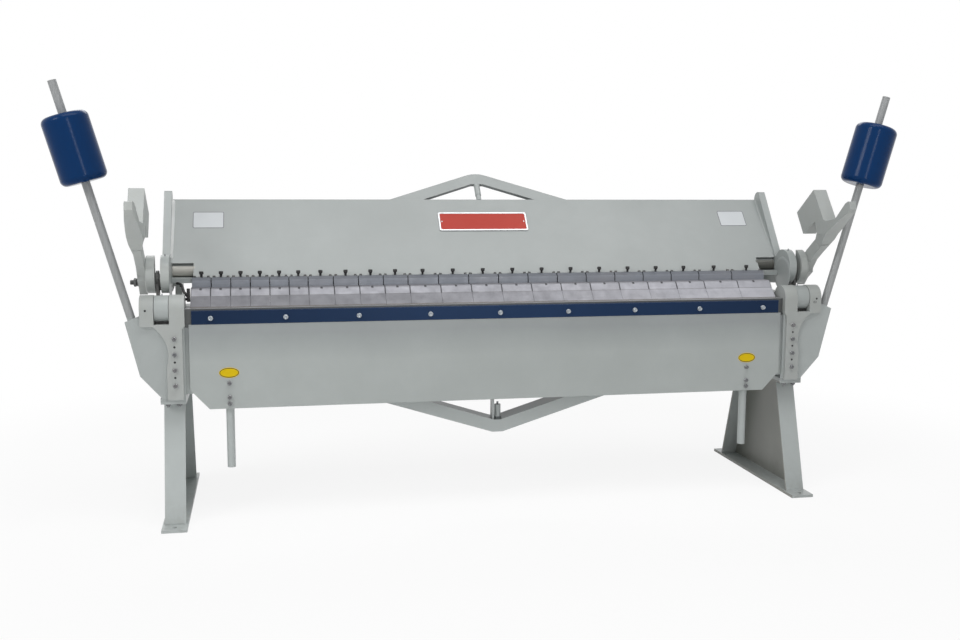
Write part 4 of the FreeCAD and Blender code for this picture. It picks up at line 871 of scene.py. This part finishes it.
def grease_fittings():
    """A grease nipple on each hinge knuckle and one on each clamp hub."""
    base_radius = 3.6
    profile = [(base_radius, 0.0), (base_radius, 1.6), (2.4, 2.2), (2.1, 4.0), (2.7, 4.8),
               (2.9, 5.6), (2.4, 6.6), (1.3, 7.2), (0.4, 7.3)]

    def hexagonal(radius, height, angle):
        return hexagon_radius(3.2, angle) if radius == base_radius else radius

    knuckles, hubs = Mesh(), Mesh()
    back = Vector((0, math.sin(NIPPLE_LEAN), math.cos(NIPPLE_LEAN)))
    ahead = Vector((0, -math.sin(NIPPLE_LEAN), math.cos(NIPPLE_LEAN)))
    for side in (-1, 1):
        base = at(side * KNUCKLE_X, 0, 0) + back * KNUCKLE_RADIUS / 1000
        knuckles.lathe(profile, standing(base, back), 30, hexagonal)
        base = at(side * HUB_MIDDLE_X, *HUB_AXIS) + ahead * HUB_RADIUS / 1000
        hubs.lathe(profile, standing(base, ahead), 30, hexagonal)
    knuckles.piece("knuckle_grease_nipples", "frame", "zinc")
    hubs.piece("hub_grease_nipples", "top_beam", "zinc")


def slot_shade_sheets():
    """Near-black sheets on the hinge castings' slot floors, hollowed to the round of the knuckles:
    painted shade in the slots.
    """
    mesh = Mesh()
    depths = [-24.0 + 15.0 * k / 8 for k in range(9)]
    for side in (-1, 1):
        rings = []
        for x, sunk in ((1297.0, 1.2), (1298.0, 0.0), (1349.6, 0.0), (1350.6, 1.2)):
            top = [at(side * x, d, -math.sqrt(SLOT_RADIUS ** 2 - d * d) - sunk) for d in depths]
            floor = [at(side * x, d, -57.0) for d in reversed(depths)]
            ring = top + floor
            rings.append(ring if side > 0 else list(reversed(ring)))
        mesh.grid(rings)
    mesh.piece("hinge_slot_wipers", "apron", "black_oxide")


def tail_studs():
    """The threaded stop stud with two nuts and a washer on the tail of each clamp handle."""
    x, depth, height = TAIL_STUD
    for side, name in SIDES:
        mesh = Mesh()
        spot = standing(at(side * x, depth, height), (side, 0, 0), spin=0.3)
        washer(mesh, spot, 18.5, 3.0)
        hex_head(mesh, raised(spot, 3.0), 15.0, 13.0, both_ends=True)
        lock_nut = raised(spot, 17.0) @ Matrix.Rotation(0.4, 4, "Z")
        hex_head(mesh, lock_nut, 15.0, 11.0, both_ends=True)
        thread(mesh, spot, 10.0, 1.2, 2.5, 12.0, 42.0)
        mesh.piece(name + "_tail_stud", name + "_clamp_lever", "dark_steel")


def post_tip():
    """The threaded tip of the short post beside the lower truss's fin."""
    mesh = Mesh()
    thread(mesh, standing(at(5.0, 30.0, -428.5), UP), 4.6, 0.7, 1.6, 0.0, 12.0)
    mesh.piece("post_tip_thread", "frame", "zinc")


def hub_caps():
    """Flat round caps on the hubs' inner faces, centred on the shafts, their edges rolled."""
    mesh = Mesh()
    profile = [(74.8, 0.0), (74.7, 0.25), (74.4, 0.4), (60.0, 0.42), (30.0, 0.44), (0.6, 0.45)]
    for side in (-1, 1):
        spot = standing(at(side * HUB_INNER_X, *SHAFT_AXIS), (-side, 0, 0))
        mesh.lathe(profile, spot, 72)
    mesh.piece("hub_caps", "top_beam", "machine_grey", smooth_angle=50.0)


def end_corners():
    """Filled corners between the beam's face and its end plates, the left a broad bevel coloured
    very light as a painted highlight.
    """
    # The left corner's very light grey is a painted highlight.
    for side, name, reach, bow, material in ((-1, "left", 10.5, 0.0, "highlight_grey"),
                                             (1, "right", 7.0, 0.35, "beam_grey")):
        mesh = Mesh()
        rings = []
        for along, scale in ((96.0, 0.2), (100.0, 1.0), (250.0, 1.0), (398.0, 1.0),
                             (402.0, 0.2)):
            spot = beam_face(side * BEAM_END_X, along)
            ring = []
            for k in range(7):
                share = k / 6
                sag = 1 - bow * math.sin(math.pi * share)
                out, up = reach * scale * (share * sag), reach * scale * ((1 - share) * sag)
                ring.append((-side * out, 0, up))
            ring.append((side * 0.4, 0, -0.4))
            rings.append([spot @ Vector(p) for p in (ring if side < 0 else reversed(ring))])
        mesh.grid(rings)
        mesh.piece(name + "_beam_corner", "top_beam", "machine_grey", material=material,
                   smooth_angle=60.0)


def weld(mesh, start, end, radius, normal):
    """A fillet bead from start to end, its half-round section rippled like laid weld metal."""
    ripple = 2.2
    along = end - start
    length = along.length
    along.normalize()
    out = Vector(normal).normalized()
    aside = along.cross(out).normalized()
    count = max(6, int(length * 1000 / ripple * 2))
    easing = radius * 0.002
    rings = []
    for row in range(count + 1):
        share = row / count
        wave = 0.86 + 0.14 * math.cos(math.pi * row) + 0.05 * math.sin(row * 1.7)
        taper = min(1.0, 0.35 + share * length / easing, 0.35 + (1 - share) * length / easing)
        r = radius / 1000 * wave * taper
        centre = start + along * (length * share)
        ring = []
        for angle in round_angles(9):
            bow = along * (0.35 * r * math.cos(angle))
            ring.append(centre + out * (r * math.cos(angle)) + aside * (r * math.sin(angle))
                        + bow)
        rings.append(ring)
    mesh.grid(rings)


def frame_welds():
    """Fillet welds of the stands, end frames and lower truss."""
    mesh = Mesh()
    across = ((-108.0, FLOOR_PLATE_TOP, (0, -1, 1)), (574.0, FLOOR_PLATE_TOP, (0, 1, 1)),
              (29.0, STAND_TOP_UNDER, (0, -1, -1)), (429.0, STAND_TOP_UNDER, (0, 1, -1)))
    for side in (-1, 1):
        low, high, upright = side * LEG_INNER_X, side * LEG_OUTER_X, side * UPRIGHT_INNER_X
        for depth, height, out in across:
            weld(mesh, at(low, depth, height), at(high, depth, height), 4.0, out)
        for x, front, rear, height, radius, out in (
                (high, -106.0, 572.0, FLOOR_PLATE_TOP, 4.0, (side, 0, 1)),
                (high, 31.0, 427.0, STAND_TOP_UNDER, 4.0, (side, 0, -1)),
                (upright, 10.0, 432.0, FRAME_FOOT_TOP, 4.5, (-side, 0, 1))):
            weld(mesh, at(x, front, height), at(x, rear, height), radius, out)
        start, end = (side * x for x in TRUSS_END_XS)
        for depth, out in ((3.0, -1), (103.0, 1)):
            weld(mesh, at(start, depth, TRUSS_END_HEIGHT), at(end, depth, TRUSS_END_HEIGHT),
                 3.0, (0, out, -1))
    mesh.piece("frame_weld_beads", "frame", "machine_grey")


def beam_welds():
    """Fillet welds of the top beam: end plates, ribs and the upper truss."""
    mesh = Mesh()
    run, rise = math.cos(BEAM_SLOPE), math.sin(BEAM_SLOPE)
    outward = Vector((0, -rise, run))
    back = 16.2

    def on_face(x, along, inward=0.0):
        return at(x, BEAM_FOOT[0] + along * run + inward * rise,
                  BEAM_FOOT[1] + along * rise - inward * run)

    for side in (-1, 1):
        x = side * (BEAM_END_X - 0.2)
        inner = Vector((-side, 0, 0))
        weld(mesh, on_face(x, 86), on_face(x, 405), 3.2, outward + inner)
        weld(mesh, on_face(side * 388, 407, 3), on_face(side * 240, 407, 3), 2.6, outward)
        weld(mesh, on_face(x, 30, back), on_face(x, 394, back), 3.0, inner - outward)
    for k in range(7):
        for side in (-1, 1):
            x = (k - 3) * RIB_PITCH + side * 6.2
            weld(mesh, on_face(x, 30, back), on_face(x, 392, back), 2.6,
                 Vector((side, 0, 0)) - outward)
    mesh.piece("beam_weld_beads", "top_beam", "machine_grey")


def apron_welds():
    """Beads on both sides of each balance rod's foot, behind the wing plate."""
    mesh = Mesh()
    for side in (-1, 1):
        for aside in (-13.6, 13.6):
            ends = []
            for along in (-142.0, -14.0):
                x = WING_FOOT_X + ROD_OUT + along * math.sin(ROD_LEAN) + aside
                ends.append(at(side * x, -27.5, -34.0 + along * math.cos(ROD_LEAN)))
            weld(mesh, *ends, 4.0, (side * math.copysign(1, aside), 1, 0))
    mesh.piece("apron_weld_beads", "apron", "machine_grey")


def tube(points, radius, segments):
    """Rings of a round bar that follows the points."""
    rings = []
    previous = None
    for index, point in enumerate(points):
        ahead = points[min(index + 1, len(points) - 1)] - points[max(index - 1, 0)]
        ahead.normalize()
        side = previous or ahead.orthogonal().normalized()
        side = (side - ahead * side.dot(ahead)).normalized()
        previous = side
        other = ahead.cross(side)
        rings.append([point + (side * math.cos(a) + other * math.sin(a)) * radius / 1000
                      for a in round_angles(segments)])
    return rings


def end_stop():
    """The black stop left of the finger row: a bar on a bowed arm from the beam's end."""
    arm = [(-1272, 96, 88), (-1262, 84, 87), (-1253, 70, 82), (-1248, 58, 70), (-1244, 50, 58),
           (-1237, 46, 50), (-1228, 43, 47)]
    brace = [(-1246, 50, 34), (-1240, 46, 30), (-1231, 43, 30)]
    mesh = Mesh()
    points = []
    for a, b in zip(arm, arm[1:]):
        points += [at(*a).lerp(at(*b), t / 3) for t in range(3)]
    tip = at(*arm[-1])
    mesh.grid(tube(points + [tip], 5.4, 14))
    mesh.grid(tube([p + Vector((0.004, 0, -0.010)) for p in points[3:]] + [tip], 3.2, 12))
    shape = rounded_rectangle(6.3, 6.0, 1.6)
    rings = []
    for inset, height in ((1.0, 0.0), (0.0, 1.2), (0.0, 51.0), (1.0, 52.2)):
        rings.append([(x * (1 - inset / 5), y * (1 - inset / 5), height) for x, y in shape])
    mesh.grid(rings, standing(at(-1226.5, 42, 19.6), UP))
    mesh.grid(tube([at(*point) for point in brace], 6.0, 12))
    mesh.piece("finger_row_stop", "top_beam", "black_oxide")


def seen_ray(tree):
    """1 for the rays that show a surface: straight from the camera, mirrored or let through."""
    path = tree.nodes.new("ShaderNodeLightPath").outputs
    first, both = (tree.nodes.new("ShaderNodeMath") for _ in range(2))
    first.operation = both.operation = "MAXIMUM"
    tree.links.new(path["Is Camera Ray"], first.inputs[0])
    tree.links.new(path["Is Glossy Ray"], first.inputs[1])
    tree.links.new(first.outputs[0], both.inputs[0])
    tree.links.new(path["Is Transmission Ray"], both.inputs[1])
    return both.outputs[0]


def floor_material():
    """Matt pale paper that keeps shadows near the middle and glows white further out."""
    material = bpy.data.materials.new("floor")
    material.use_nodes = True
    tree = material.node_tree
    paper = tree.nodes["Principled BSDF"]
    paper.inputs["Base Color"].default_value = FLOOR_GREY
    paper.inputs["Roughness"].default_value = 1.0
    paper.inputs["Specular IOR Level"].default_value = 0.0
    away = tree.nodes.new("ShaderNodeVectorMath")
    away.operation = "LENGTH"
    tree.links.new(tree.nodes.new("ShaderNodeTexCoord").outputs["Object"], away.inputs[0])
    white = tree.nodes.new("ShaderNodeMapRange")
    white.interpolation_type = "SMOOTHSTEP"
    white.inputs["From Min"].default_value, white.inputs["From Max"].default_value = FLOOR_FADE
    white.inputs["To Min"].default_value = FLOOR_GLOW
    tree.links.new(away.outputs["Value"], white.inputs["Value"])
    share = tree.nodes.new("ShaderNodeMath")
    share.operation = "MULTIPLY"
    tree.links.new(white.outputs["Result"], share.inputs[0])
    tree.links.new(seen_ray(tree), share.inputs[1])
    blend = tree.nodes.new("ShaderNodeMixShader")
    tree.links.new(share.outputs[0], blend.inputs[0])
    tree.links.new(paper.outputs[0], blend.inputs[1])
    tree.links.new(tree.nodes.new("ShaderNodeEmission").outputs[0], blend.inputs[2])
    tree.links.new(blend.outputs[0], tree.nodes["Material Output"].inputs["Surface"])
    return material


def add_lamp(name, place, target, size, power):
    data = bpy.data.lights.new(name, "AREA")
    data.shape = "RECTANGLE"
    data.size, data.size_y = size
    data.energy = power
    lamp = bpy.data.objects.new(name, data)
    turn = (Vector(target) - Vector(place)).to_track_quat("-Z", "Y").to_matrix().to_4x4()
    lamp.matrix_world = Matrix.Translation(place) @ turn
    bpy.context.scene.collection.objects.link(lamp)


def stage():
    """Pale floor that keeps the object's shadow, a white surround and soft lamps."""
    bpy.ops.mesh.primitive_plane_add(size=FLOOR_SIZE)
    floor = bpy.context.object
    floor.name = "floor"
    floor.data.materials.append(floor_material())
    world = bpy.data.worlds.new("world")
    bpy.context.scene.world = world
    world.use_nodes = True
    tree = world.node_tree
    back = tree.nodes["Background"]
    back.inputs["Color"].default_value = (1, 1, 1, 1)
    strength = tree.nodes.new("ShaderNodeMapRange")
    strength.inputs["To Min"].default_value = WORLD_LIGHT
    tree.links.new(seen_ray(tree), strength.inputs["Value"])
    tree.links.new(strength.outputs["Result"], back.inputs["Strength"])
    for name, settings in LAMPS.items():
        add_lamp(name, *settings)


add_camera()
dress_frame()
apron_bolts()
frame_bolts()
block_bolts()
thumb_screws()
name_plate()
beam_labels()
apron_ovals()
socket_screws()
grease_fittings()
slot_shade_sheets()
tail_studs()
post_tip()
hub_caps()
end_corners()
frame_welds()
beam_welds()
apron_welds()
end_stop()
stage()

bpy.context.scene.view_settings.view_transform = "Standard"
